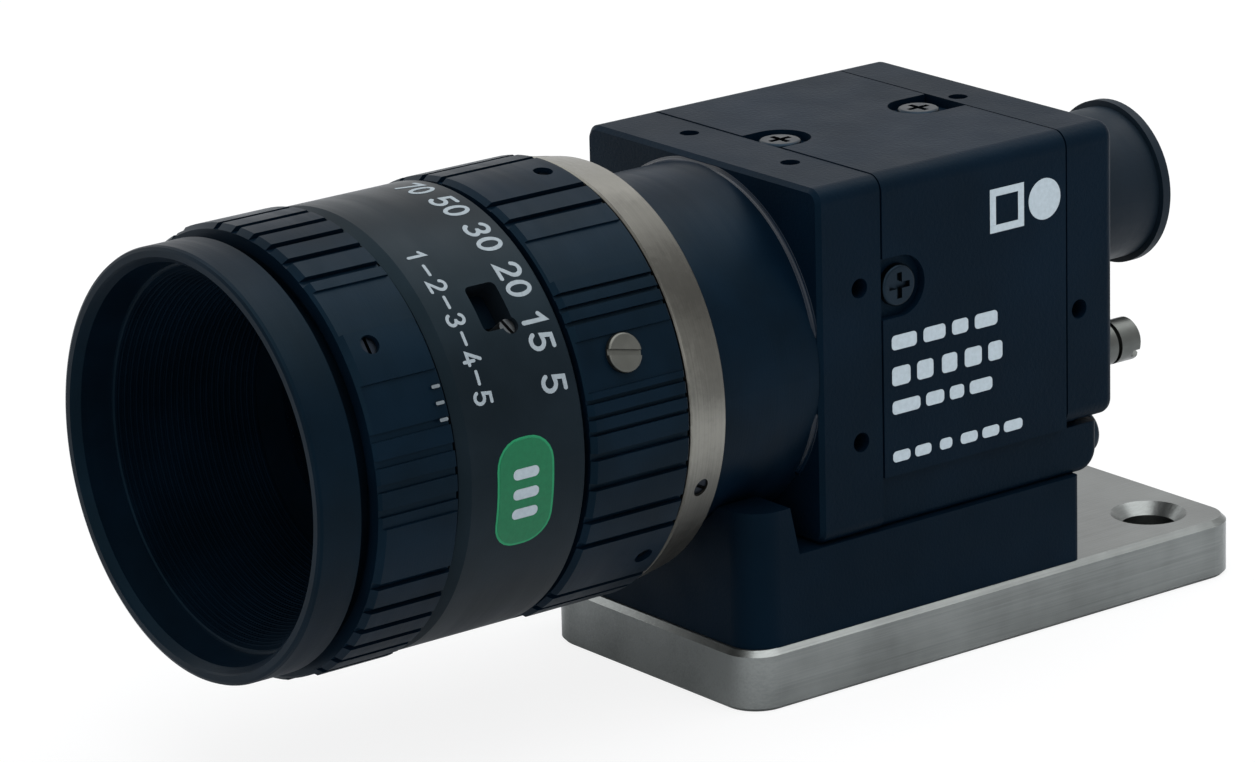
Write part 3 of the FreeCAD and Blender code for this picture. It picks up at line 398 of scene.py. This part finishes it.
def thick_line(points, width):
    """Outline of a line drawn with a round pen."""
    half = width / 2
    sharpest = 0.45     # keeps the corner of a sharp bend from running out
    left, right = [], []
    last = len(points) - 1
    for index, point in enumerate(points):
        here = Vector(point)
        before = (here - Vector(points[index - 1])).normalized() if index > 0 else None
        after = (Vector(points[index + 1]) - here).normalized() if index < last else None
        before = before or after
        after = after or before
        across = Vector((-before.y, before.x)) + Vector((-after.y, after.x))
        across.normalize()
        reach = half / max(sharpest, across.dot(Vector((-after.y, after.x))))
        left.append(here + across * reach)
        right.append(here - across * reach)
    first_way = math.degrees(math.atan2(points[1][1] - points[0][1], points[1][0] - points[0][0]))
    last_way = math.degrees(math.atan2(points[-1][1] - points[-2][1], points[-1][0] - points[-2][0]))
    outline = [tuple(point) for point in right]
    outline += arc(points[-1][0], points[-1][1], half, half, last_way - 90, last_way + 90, 6)[1:-1]
    outline += [tuple(point) for point in reversed(left)]
    outline += arc(points[0][0], points[0][1], half, half, first_way + 90, first_way + 270, 6)[1:-1]
    return outline


def round_bar(x0, x1, y0, y1, radius):
    """Outline of a rectangle with round corners."""
    corners = ((x1 - radius, y0 + radius, -90), (x1 - radius, y1 - radius, 0),
               (x0 + radius, y1 - radius, 90), (x0 + radius, y0 + radius, 180))
    outline = []
    for x, y, start in corners:
        outline += arc(x, y, radius, radius, start, start + 90, 6)
    return outline


def centred_bar(x, y, width, height, radius):
    """Outline of a round-cornered rectangle about its middle."""
    return round_bar(x - width / 2, x + width / 2, y - height / 2, y + height / 2, radius)


def ring_outline(centre_x, centre_y, radius_x, radius_y, width, steps=36):
    """Outline of an elliptic ring, closed but for a hairline slit at its right."""
    half = width / 2
    outer = arc(centre_x, centre_y, radius_x + half, radius_y + half, 0.3, 359.7, steps)
    inner = arc(centre_x, centre_y, radius_x - half, radius_y - half, 359.4, 0.6, steps)
    return outer + inner


# Strokes of each digit in a cell 0.6 wide and 1 high; loops are (x, y, radius_x, radius_y)
DIGIT_STROKES = {
    "1": [[(0.10, 0.76), (0.34, 0.96), (0.34, 0.04)]],
    "2": [arc(0.31, 0.69, 0.25, 0.27, 168, -38) + [(0.07, 0.05), (0.60, 0.05)]],
    "3": [arc(0.29, 0.73, 0.23, 0.23, 160, -78) + arc(0.28, 0.27, 0.27, 0.23, 78, -160)],
    "4": [[(0.42, 0.96), (0.05, 0.28), (0.62, 0.28)],
          [(0.45, 0.58), (0.45, 0.36)],
          [(0.45, 0.20), (0.45, 0.04)]],
    "5": [[(0.54, 0.95), (0.14, 0.95), (0.09, 0.55)] + arc(0.28, 0.31, 0.27, 0.27, 112, -155)],
    "7": [[(0.05, 0.95), (0.57, 0.95), (0.24, 0.04)]],
}
DIGIT_LOOPS = {"0": [(0.30, 0.50, 0.25, 0.45)]}


def number_outlines(text, x, y, height, pen):
    """Outlines of a number centred at a point, upright along +y."""
    cell, advance = 0.6, 0.80
    width = advance * (len(text) - 1) + cell
    outlines = []
    for index, digit in enumerate(text):
        left, low = x + (index * advance - width / 2) * height, y - 0.5 * height
        for stroke in DIGIT_STROKES.get(digit, []):
            outlines.append(thick_line([(left + px * height, low + py * height) for px, py in stroke], pen))
        for px, py, radius_x, radius_y in DIGIT_LOOPS.get(digit, []):
            outlines.append(ring_outline(left + px * height, low + py * height,
                                         radius_x * height, radius_y * height, pen))
    return outlines


def ink_mesh(name, outlines, place, rise, sink=10 * MICRON, step=0.4 * MM):
    """Thin closed shapes laid on a surface. place(x, y, lift) maps the flat drawing onto it.

    The shapes are cut across at every step along x, so that they can follow a round surface.
    """
    build = bmesh.new()
    for outline in outlines:
        face = build.faces.new([build.verts.new((x, y, -sink)) for x, y in outline])
        made = bmesh.ops.extrude_face_region(build, geom=[face])
        top = [item for item in made["geom"] if isinstance(item, bmesh.types.BMVert)]
        bmesh.ops.translate(build, verts=top, vec=(0, 0, rise + sink))
    low = min(vert.co.x for vert in build.verts)
    high = max(vert.co.x for vert in build.verts)
    if step:
        for index in range(1, int((high - low) / step) + 1):
            everything = build.verts[:] + build.edges[:] + build.faces[:]
            bmesh.ops.bisect_plane(build, geom=everything, plane_co=(low + index * step, 0, 0),
                                   plane_no=(1, 0, 0))
    bmesh.ops.triangulate(build, faces=build.faces)
    bmesh.ops.recalc_face_normals(build, faces=build.faces)
    for vert in build.verts:
        vert.co = place(*vert.co)
    return finished_mesh(name, build)


def on_band(x, y, lift):
    """x runs round the band from its top towards +X, y along the lens."""
    return point_round_axis(BAND_RADIUS + lift, x / BAND_RADIUS, y)


def on_focus_ring(x, y, lift):
    """x runs round the focus ring from its top towards +X, y along the lens."""
    return point_round_axis(FOCUS_RADIUS + lift, x / FOCUS_RADIUS, y)


def on_side(x, y, lift):
    """x runs to the rear on the cover's right side, y up from the optical axis."""
    return Vector((COVER_SIDE_X + lift, x, AXIS_Z + y))


def along_band(degrees):
    """Distance round the band for an angle."""
    return math.radians(degrees) * BAND_RADIUS


def dress(material, *nodes):
    """Give CAD nodes a finish."""
    for node in nodes:
        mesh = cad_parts[node].data
        mesh.materials.clear()
        mesh.materials.append(material)


# ---- Operators: one for each group of pieces ---------------------------------------------------

class FinishBody(bpy.types.Operator):
    """Fine textured black paint on the camera body, anodising on its mount barrel."""
    bl_idname = "vision_camera.finish_body"
    bl_label = "Finish camera body"

    def execute(self, context):
        black = tuple(context.scene.camera_finish.body_black)
        dress(painted_texture("cover paint", black, 3400, 30 * MICRON, (0.45, 0.50)), "wrap_cover")
        dress(painted_texture("housing paint", tint(black, 0.92), 3400, 30 * MICRON, (0.45, 0.50)),
              "front_housing", "rear_housing", "bottom_chassis")
        dress(turned_anodised("barrel anodising", tint(black, 0.9), 8 * MICRON, (0.34, 0.46)), "mount_barrel")
        return {"FINISHED"}


class FinishBase(bpy.types.Operator):
    """Blasted black base on a ground steel plate."""
    bl_idname = "vision_camera.finish_base"
    bl_label = "Finish base and plate"

    def execute(self, context):
        settings = context.scene.camera_finish
        black = tint(tuple(settings.body_black), 0.9)
        dress(painted_texture("base anodising", black, 4200, 16 * MICRON, (0.46, 0.58)), "mounting_base")
        dress(ground_steel("ground steel", tuple(settings.steel)), "base_plate")
        return {"FINISHED"}


class FinishLens(bpy.types.Operator):
    """Turned and anodised lens rings, bright collar, blackened sleeve."""
    bl_idname = "vision_camera.finish_lens"
    bl_label = "Finish lens"

    def execute(self, context):
        settings = context.scene.camera_finish
        black = tuple(settings.lens_black)
        warmer = (black[0] + 0.0035, black[1] + 0.0025, black[2])
        dress(turned_anodised("ring anodising", black, 7 * MICRON, (0.30, 0.42)), "focus_ring", "iris_ring")
        dress(turned_anodised("band anodising", warmer, 5 * MICRON, (0.30, 0.40), gloss=0.08), "fixed_barrel")
        dress(turned_anodised("inner black", tint(black, 0.6), 10 * MICRON, (0.55, 0.7)),
              "lens_cell", "front_retainer", "inner_retainer", "rear_cell", "rear_spacer", "rear_retainer",
              "lens_flange")
        dress(turned_anodised("sleeve blackening", tint(black, 0.8), 12 * MICRON, (0.42, 0.56)),
              "helicoid_sleeve")
        dress(clamped_collar("collar nickel", tuple(settings.collar)), "mount_collar")
        dress(turned_metal("thread ring steel", (0.55, 0.55, 0.53), 12 * MICRON, (0.30, 0.42)),
              "mount_thread_ring")
        return {"FINISHED"}


class FinishOptics(bpy.types.Operator):
    """Coated glass, blackened iris blades and the cam ring."""
    bl_idname = "vision_camera.finish_optics"
    bl_label = "Finish optics"

    def execute(self, context):
        blades = ["iris_blade_%d" % number for number in range(1, 7)]
        dress(optical_glass("front glass", (0.55, 0.60, 0.66), coat=0.5), "front_element")
        dress(optical_glass("inner glass", (0.80, 0.84, 0.86), coat=0.3),
              "second_element", "middle_element", "rear_element")
        dress(optical_glass("filter glass", (0.45, 0.70, 0.80), coat=0.4), "infrared_filter", "sensor_window")
        dress(plain_metal("blade steel", (0.035, 0.035, 0.038), (0.42, 0.55)), "iris_base_plate", *blades)
        dress(turned_metal("cam ring brass", (0.55, 0.43, 0.22), 10 * MICRON, (0.32, 0.45)), "iris_cam_ring")
        return {"FINISHED"}


class FinishElectronics(bpy.types.Operator):
    """Boards, sensor, spacers and the filter's frame."""
    bl_idname = "vision_camera.finish_electronics"
    bl_label = "Finish electronics"

    def execute(self, context):
        dress(circuit_laminate("circuit laminate"), "sensor_board", "main_board", "interface_board")
        dress(moulded("sensor package", (0.06, 0.055, 0.075), (0.18, 0.32)), "image_sensor")
        dress(moulded("frame moulding", (0.012, 0.012, 0.013), (0.5, 0.6)), "filter_frame")
        dress(plain_metal("spacer brass", (0.60, 0.50, 0.30), (0.28, 0.4)), "board_spacers")
        return {"FINISHED"}


class FinishConnectors(bpy.types.Operator):
    """Rear connectors, their contacts and the vinyl cap."""
    bl_idname = "vision_camera.finish_connectors"
    bl_label = "Finish connectors"

    def execute(self, context):
        dress(plain_metal("connector nickel", (0.60, 0.60, 0.58), (0.22, 0.34)),
              "round_connector", "connector_nut", "interface_connector")
        dress(plain_metal("jackscrew nickel", (0.085, 0.09, 0.086), (0.28, 0.42)), "jackscrews")
        dress(moulded("connector moulding", (0.012, 0.012, 0.013), (0.45, 0.6)),
              "round_insert", "interface_insert")
        dress(plain_metal("contact gold", (0.80, 0.58, 0.20), (0.2, 0.3)), "round_pins")
        dress(moulded("cap vinyl", (0.004, 0.009, 0.015), (0.46, 0.58), gloss=0.10), "connector_cap")
        return {"FINISHED"}


class FinishScrews(bpy.types.Operator):
    """Black screws in the body and the rings, a nickel one in the iris ring, steel ones out of sight, and a
    guide pin whose dark steel is painted shade.
    """
    bl_idname = "vision_camera.finish_screws"
    bl_label = "Finish screws"

    def execute(self, context):
        dress(plain_metal("black oxide", (0.010, 0.017, 0.025), (0.32, 0.46)),
              "cover_screws", "rear_screws", "chassis_screws", "base_screws")
        dress(plain_metal("set screw black", (0.010, 0.013, 0.018), (0.34, 0.46)),
              "collar_screws", "focus_set_screws", "iris_set_screws")
        dress(plain_metal("screw steel", (0.30, 0.30, 0.29), (0.34, 0.46)), "board_screws", "plate_screws")
        # painted shade: the guide pin is a far darker steel than the other steel parts, standing in for the
        # shade inside the barrel's window
        dress(plain_metal("guide pin steel with painted shade", (0.06, 0.066, 0.07), (0.40, 0.52)), "guide_pin")
        dress(plain_metal("drive screw nickel", (0.090, 0.092, 0.084), (0.34, 0.46)), "iris_drive_screw")
        return {"FINISHED"}


class BarrelRoot(bpy.types.Operator):
    """Small hollow fillet where the mount barrel meets the body's front face."""
    bl_idname = "vision_camera.barrel_root"
    bl_label = "Add barrel fillet"

    def execute(self, context):
        low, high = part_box("mount_barrel")
        barrel = (high[0] - low[0]) / 2
        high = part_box("front_housing")[1]
        edge = 0.4 * MM     # left free along the edges of the face
        side, top = high[0] - edge, high[2] - AXIS_Z - edge
        build = bmesh.new()
        for start, end in ((-78, 78), (103, 128), (-128, -103)):
            self.sweep(build, barrel, side, top, start, end)
        bmesh.ops.recalc_face_normals(build, faces=build.faces)
        black = tint(tuple(context.scene.camera_finish.body_black), 1.2)
        material = turned_anodised("barrel root anodising", black, 3 * MICRON, (0.22, 0.32),
                                   gloss=0.22, sheen=(1, 1, 1, 1))
        add_piece("barrel_root", finished_mesh("barrel_root", build), material, "camera", smooth=True)
        return {"FINISHED"}

    def sweep(self, build, barrel, side, top, start, end):
        """Quarter-round hollow section carried round the barrel, as large as the face leaves room for."""
        sunk = 0.03 * MM
        smallest, largest = 0.04 * MM, 0.34 * MM
        rows = []
        for degree in range(start, end + 1, 2):
            angle = math.radians(degree)
            across, up = abs(math.sin(angle)), abs(math.cos(angle))
            room = min(side / max(across, 0.001), top / max(up, 0.001)) - barrel
            size = max(smallest, min(largest, room))
            section = [(sunk, barrel - sunk), (sunk, barrel + size)]
            for turn in range(0, 91, 15):
                hollow = math.radians(turn)
                section.append((-size + size * math.cos(hollow), barrel + size - size * math.sin(hollow)))
            section.append((-size, barrel - sunk))
            rows.append([build.verts.new(point_round_axis(radius, angle, y)) for y, radius in section])
        for here, there in zip(rows[:-1], rows[1:]):
            join_rows(build, here, there)
        build.faces.new(rows[0][::-1])
        build.faces.new(rows[-1])


class HoodRidges(bpy.types.Operator):
    """Fine ridges that line the tapering cone of the front hood."""
    bl_idname = "vision_camera.hood_ridges"
    bl_label = "Add hood ridges"

    def execute(self, context):
        count = context.scene.camera_details.baffle_ridges
        mouth, throat = BEZEL_LOW[1] + RIDGE_START, BEZEL_HIGH[1]
        wide, narrow = 14.65 * MM, 11.0 * MM
        undercut, groove = 0.01 * MM, 0.09 * MM
        profile = []
        for ridge in range(count):
            y = throat + (mouth - throat) * ridge / count
            after = throat + (mouth - throat) * (ridge + 1) / count
            crest = narrow + (wide - narrow) * ridge / count
            profile.append((y, crest))
            profile.append((y + (after - y) * 0.62, crest - undercut))
            profile.append((y + (after - y) * 0.70, crest + groove))
            profile.append((after, crest + groove))
        profile += [(mouth, wide + 0.25 * MM), (throat, narrow + 0.35 * MM)]
        black = tint(tuple(context.scene.camera_finish.lens_black), 0.7)
        material = turned_anodised("ridge anodising", black, 5 * MICRON, (0.55, 0.68), gloss=0.02)
        add_piece("hood_ridges", turned_mesh("hood_ridges", profile, 128), material, "optical_unit")
        return {"FINISHED"}


class FrontRing(bpy.types.Operator):
    """Front ring with a thin lip, and the smooth flare and small ledge ahead of the ridges; its darker black
    is painted shade.
    """
    bl_idname = "vision_camera.front_ring"
    bl_label = "Add front ring"

    def execute(self, context):
        front, cone_end = BEZEL_LOW[1], BEZEL_HIGH[1]
        outer = (BEZEL_HIGH[0] - BEZEL_LOW[0]) / 2
        bevel = 0.33 * MM
        lip = outer - bevel - context.scene.camera_details.lip_width
        skirt = front + 3.73 * MM       # rear end of the ring's outside
        spigot = front + 7.1 * MM       # rear end of what sits in the lens cell
        ledge = front + RIDGE_START
        outside = [(front, outer - bevel), (front + bevel * 0.3, outer - bevel * 0.3),
                   (front + bevel, outer), (skirt, outer)]
        back = [(skirt, 15.12 * MM), (spigot, 14.87 * MM), (spigot, 14.4 * MM), (cone_end, 12.0 * MM)]
        cone = [(cone_end, 11.3 * MM), (ledge + 0.15 * MM, 14.95 * MM)]
        rib = [(ledge, 14.85 * MM), (ledge - 0.12 * MM, 14.95 * MM), (ledge - 0.15 * MM, 15.12 * MM)]
        flare = [(front + 0.7 * MM, 15.55 * MM), (front + 0.15 * MM, lip - 0.12 * MM)]
        profile = [(front, lip), *outside, *back, *cone, *rib, *flare]
        # painted shade: the whole front ring is a darker black than the other lens rings, standing in for the
        # dim light on its front-facing lip
        black = tint(tuple(context.scene.camera_finish.lens_black), 0.75)
        material = turned_anodised("front ring anodising with painted shade", black, 6 * MICRON, (0.34, 0.46))
        ring = add_piece("front_ring", turned_mesh("front_ring", profile, 256), material, "optical_unit")
        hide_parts("front_bezel")
        return {"FINISHED"}


class LensPrint(bpy.types.Operator):
    """Two rows of plain dial numbers on the fixed band, the second with dashes between."""
    bl_idname = "vision_camera.lens_print"
    bl_label = "Print the lens band"

    def execute(self, context):
        rear_row, front_row = SEAT_Y - 16.33 * MM, SEAT_Y - 22.93 * MM
        rear_numbers = (("70", -1.0), ("50", 13.6), ("30", 28.2), ("20", 42.8), ("15", 57.4), ("5", 71.0))
        front_start, front_spacing = 29.5, 10.2
        outlines = []
        for number, angle in rear_numbers:
            outlines += number_outlines(number, along_band(angle), rear_row, height=2.15 * MM, pen=0.36 * MM)
        for place, number in enumerate("12345"):
            angle = front_start + place * front_spacing
            outlines += number_outlines(number, along_band(angle), front_row, height=1.6 * MM, pen=0.27 * MM)
        for place in range(4):
            x = along_band(front_start + (place + 0.5) * front_spacing)
            outlines.append(centred_bar(x, front_row, 1.2 * MM, 0.26 * MM, 0.12 * MM))
        rise = context.scene.camera_details.print_rise
        ink = print_ink("lens ink", tint(tuple(context.scene.camera_finish.print_white), 0.62))
        add_piece("lens_print", ink_mesh("lens_print", outlines, on_band, rise), ink, "camera")
        return {"FINISHED"}


class FocusTicks(bpy.types.Operator):
    """Three index ticks at the rear edge of the focus ring."""
    bl_idname = "vision_camera.focus_ticks"
    bl_label = "Print the focus ring"

    def execute(self, context):
        width, length = 0.26 * MM, 0.75 * MM
        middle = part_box("focus_ring")[1][1] - 0.25 * MM - length / 2
        outlines = []
        for angle in (64.8, 68.9, 73.0):
            outlines.append(centred_bar(math.radians(angle) * FOCUS_RADIUS, middle, width, length, 0.11 * MM))
        rise = context.scene.camera_details.print_rise
        ink = print_ink("tick ink", tint(tuple(context.scene.camera_finish.print_white), 0.35))
        add_piece("focus_ticks", ink_mesh("focus_ticks", outlines, on_focus_ring, rise), ink, "focus")
        return {"FINISHED"}


class LensBadge(bpy.types.Operator):
    """Green round-ended label on the band, with a lighter rim and three plain bars."""
    bl_idname = "vision_camera.lens_badge"
    bl_label = "Add lens badge"

    def execute(self, context):
        settings = context.scene.camera_finish
        rise = context.scene.camera_details.print_rise
        green = tuple(settings.badge_green)
        x, y = along_band(96.4), SEAT_Y - 19.93 * MM
        rim = centred_bar(x, y, 8.8 * MM, 5.3 * MM, 2.25 * MM)
        label = centred_bar(x, y, 8.4 * MM, 4.9 * MM, 2.05 * MM)
        marks = [centred_bar(x + shift * MM, y, 0.84 * MM, 2.4 * MM, 0.4 * MM) for shift in (-1.6, 0, 1.6)]
        add_piece("badge_rim", ink_mesh("badge_rim", [rim], on_band, rise),
                  print_ink("badge rim", tint(green, 1.7)), "camera")
        add_piece("badge_label", ink_mesh("badge_label", [label], on_band, rise * 2, sink=-rise * 0.6),
                  print_ink("badge ink", green, 0.4), "camera")
        add_piece("badge_marks", ink_mesh("badge_marks", marks, on_band, rise * 3, sink=-rise * 1.6),
                  print_ink("badge white", tint(tuple(settings.print_white), 0.8)), "camera")
        return {"FINISHED"}


class BodyPrint(bpy.types.Operator):
    """Rows of plain bars, a square and a disc on the cover's right side."""
    bl_idname = "vision_camera.body_print"
    bl_label = "Print the body"

    # Each row in mm: its lower and upper edge from the optical axis, and its bars from the body's front
    ROWS = ((0.55, 1.75, ((7.3, 9.9), (10.6, 12.9), (13.6, 15.3), (16.0, 18.4))),
            (-2.40, -0.85, ((7.3, 9.2), (9.9, 11.6), (12.5, 14.1), (14.9, 16.7), (17.4, 18.9))),
            (-4.75, -3.65, ((7.3, 10.2), (10.8, 12.7), (13.3, 14.8), (15.4, 17.8))),
            (-8.70, -7.80, ((7.3, 9.1), (9.6, 11.3), (12.2, 13.5), (14.4, 16.2), (16.7, 18.5), (19.0, 21.0))))

    def execute(self, context):
        outlines = []
        for low, high, bars in self.ROWS:
            for start, end in bars:
                outlines.append(round_bar(start * MM, end * MM, low * MM, high * MM, 0.35 * MM))
        outlines.append(self.square(17.7 * MM, 21.3 * MM, 8.1 * MM, 11.7 * MM, 0.62 * MM))
        outlines.append(arc(23.5 * MM, 9.9 * MM, 1.7 * MM, 1.7 * MM, 0, 351, 39))
        ink = print_ink("body ink", tuple(context.scene.camera_finish.print_white))
        rise = context.scene.camera_details.print_rise
        add_piece("body_print", ink_mesh("body_print", outlines, on_side, rise, step=0), ink, "camera")
        return {"FINISHED"}

    def square(self, left, right, low, high, pen):
        """Outline of an open square, closed but for a hairline slit at its left."""
        slit = 0.01 * MM
        outer = [(left, low), (right, low), (right, high), (left, high), (left, low + pen + slit)]
        inner = [(left + pen, low + pen + slit), (left + pen, high - pen), (right - pen, high - pen),
                 (right - pen, low + pen), (left, low + pen)]
        return outer + inner


class BuildStage(bpy.types.Operator):
    """Pale floor and backdrop, soft studio lamps and the camera."""
    bl_idname = "vision_camera.build_stage"
    bl_label = "Build the studio"

    def execute(self, context):
        settings = context.scene.camera_stage
        self.lay_floor(tuple(settings.backdrop))
        self.light_world(context)
        self.hang_lamp("overhead softbox", (0.05, 0.10, 0.75), (0, 0, 0.03), size=1.1, power=9.5)
        self.hang_lamp("front softbox", (0.55, -0.75, 0.45), (0, -0.01, 0.03), size=0.7, power=2.2)
        self.hang_lamp("left softbox", (-0.8, -0.35, 0.4), (0, -0.02, 0.03), size=0.7, power=2.0)
        self.stand_camera(context, settings)
        context.scene.view_settings.view_transform = "Standard"
        return {"FINISHED"}

    def add_to_stage(self, holder):
        bpy.context.scene.collection.objects.link(holder)

    def lay_floor(self, colour):
        finish = Finish("pale floor")
        finish.colour(finish.noise(14, 3), tint(colour, 0.99), tint(colour, 1.01))
        finish.rough(finish.noise(40, 2), (0.75, 0.85))
        finish.set(Specular_IOR_Level=0.1)
        self.brighten(finish)
        build = bmesh.new()
        bmesh.ops.create_grid(build, x_segments=8, y_segments=8, size=3.0)
        mesh = finished_mesh("floor", build)
        mesh.materials.append(finish.material)
        self.add_to_stage(bpy.data.objects.new("floor", mesh))

    def brighten(self, finish):
        """Lift the floor towards white where the camera sees it directly."""
        glow = finish.node("ShaderNodeEmission", Strength=1.0)
        path = finish.node("ShaderNodeLightPath")
        mix = finish.node("ShaderNodeMixShader")
        finish.link(finish.maths("MULTIPLY", path.outputs["Is Camera Ray"], FLOOR_GLOW), mix.inputs[0])
        finish.link(finish.shader.outputs[0], mix.inputs[1])
        finish.link(glow.outputs[0], mix.inputs[2])
        finish.link(mix.outputs[0], finish.tree.nodes["Material Output"].inputs["Surface"])

    def light_world(self, context):
        """Cool soft light from all round; plain white where it is seen, in metal and through glass too."""
        world = bpy.data.worlds.new("studio")
        world.use_nodes = True
        nodes, links = world.node_tree.nodes, world.node_tree.links
        light = nodes["Background"]
        light.inputs["Color"].default_value = (0.93, 0.96, 1.0, 1)
        light.inputs["Strength"].default_value = 0.55
        white = nodes.new("ShaderNodeBackground")
        white.inputs["Color"].default_value = (1, 1, 1, 1)
        white.inputs["Strength"].default_value = 1.0
        seen = nodes.new("ShaderNodeLightPath").outputs
        share = seen["Is Camera Ray"]
        for ray in ("Is Transmission Ray", "Is Glossy Ray"):
            either = nodes.new("ShaderNodeMath")
            either.operation = "MAXIMUM"
            links.new(share, either.inputs[0])
            links.new(seen[ray], either.inputs[1])
            share = either.outputs[0]
        mix = nodes.new("ShaderNodeMixShader")
        for source, socket in zip((share, light.outputs[0], white.outputs[0]), mix.inputs):
            links.new(source, socket)
        links.new(mix.outputs[0], nodes["World Output"].inputs[0])
        context.scene.world = world

    def hang_lamp(self, name, place, target, size, power):
        lamp = bpy.data.lights.new(name, "AREA")
        lamp.shape = "SQUARE"
        lamp.size = size
        lamp.energy = power
        holder = bpy.data.objects.new(name, lamp)
        holder.location = place
        holder.rotation_euler = (Vector(target) - Vector(place)).to_track_quat("-Z", "Y").to_euler()
        self.add_to_stage(holder)

    def stand_camera(self, context, settings):
        lens = bpy.data.cameras.new("studio camera")
        lens.lens = settings.focal_length
        lens.sensor_width = 36.0
        lens.clip_start = 0.01
        holder = bpy.data.objects.new("studio_camera", lens)
        level = math.cos(CAMERA_ELEVATION)
        back = Vector((math.sin(CAMERA_AZIMUTH) * level, -math.cos(CAMERA_AZIMUTH) * level,
                       math.sin(CAMERA_ELEVATION)))
        right = Vector((0, 0, 1)).cross(back).normalized()
        up = back.cross(right)
        rolled_right = right * math.cos(CAMERA_ROLL) + up * math.sin(CAMERA_ROLL)
        rolled_up = up * math.cos(CAMERA_ROLL) - right * math.sin(CAMERA_ROLL)
        axes = Matrix((rolled_right, rolled_up, back)).transposed()
        holder.matrix_world = Matrix.Translation(Vector(settings.camera_place)) @ axes.to_4x4()
        self.add_to_stage(holder)
        context.scene.camera = holder


OPERATORS = (FinishBody, FinishBase, FinishLens, FinishOptics, FinishElectronics, FinishConnectors,
             FinishScrews, BarrelRoot, HoodRidges, FrontRing, LensPrint, FocusTicks, LensBadge, BodyPrint,
             BuildStage)


class VisionCameraPanel(bpy.types.Panel):
    """Sidebar list of the finishing steps."""
    bl_idname = "VIEW3D_PT_vision_camera"
    bl_label = "Vision camera"
    bl_space_type = "VIEW_3D"
    bl_region_type = "UI"
    bl_category = "Vision Camera"

    def draw(self, context):
        layout = self.layout
        for name, group in SETTINGS:
            settings = getattr(context.scene, name)
            for field in settings.bl_rna.properties:
                if not field.is_readonly and field.identifier != "name":
                    layout.prop(settings, field.identifier)
        for operator in OPERATORS:
            layout.operator(operator.bl_idname)


SETTINGS = (("camera_finish", CameraFinishSettings), ("camera_details", CameraDetailSettings),
            ("camera_stage", CameraStageSettings))


def register():
    for name, group in SETTINGS:
        bpy.utils.register_class(group)
        setattr(bpy.types.Scene, name, PointerProperty(type=group))
    for made in (*OPERATORS, VisionCameraPanel):
        bpy.utils.register_class(made)


def unregister():
    for made in (VisionCameraPanel, *reversed(OPERATORS)):
        bpy.utils.unregister_class(made)
    for name, group in reversed(SETTINGS):
        delattr(bpy.types.Scene, name)
        bpy.utils.unregister_class(group)


def main():
    register()
    for operator in OPERATORS:
        name = operator.bl_idname.split(".")[1]
        getattr(bpy.ops.vision_camera, name)()


if __name__ == "__main__":
    main()
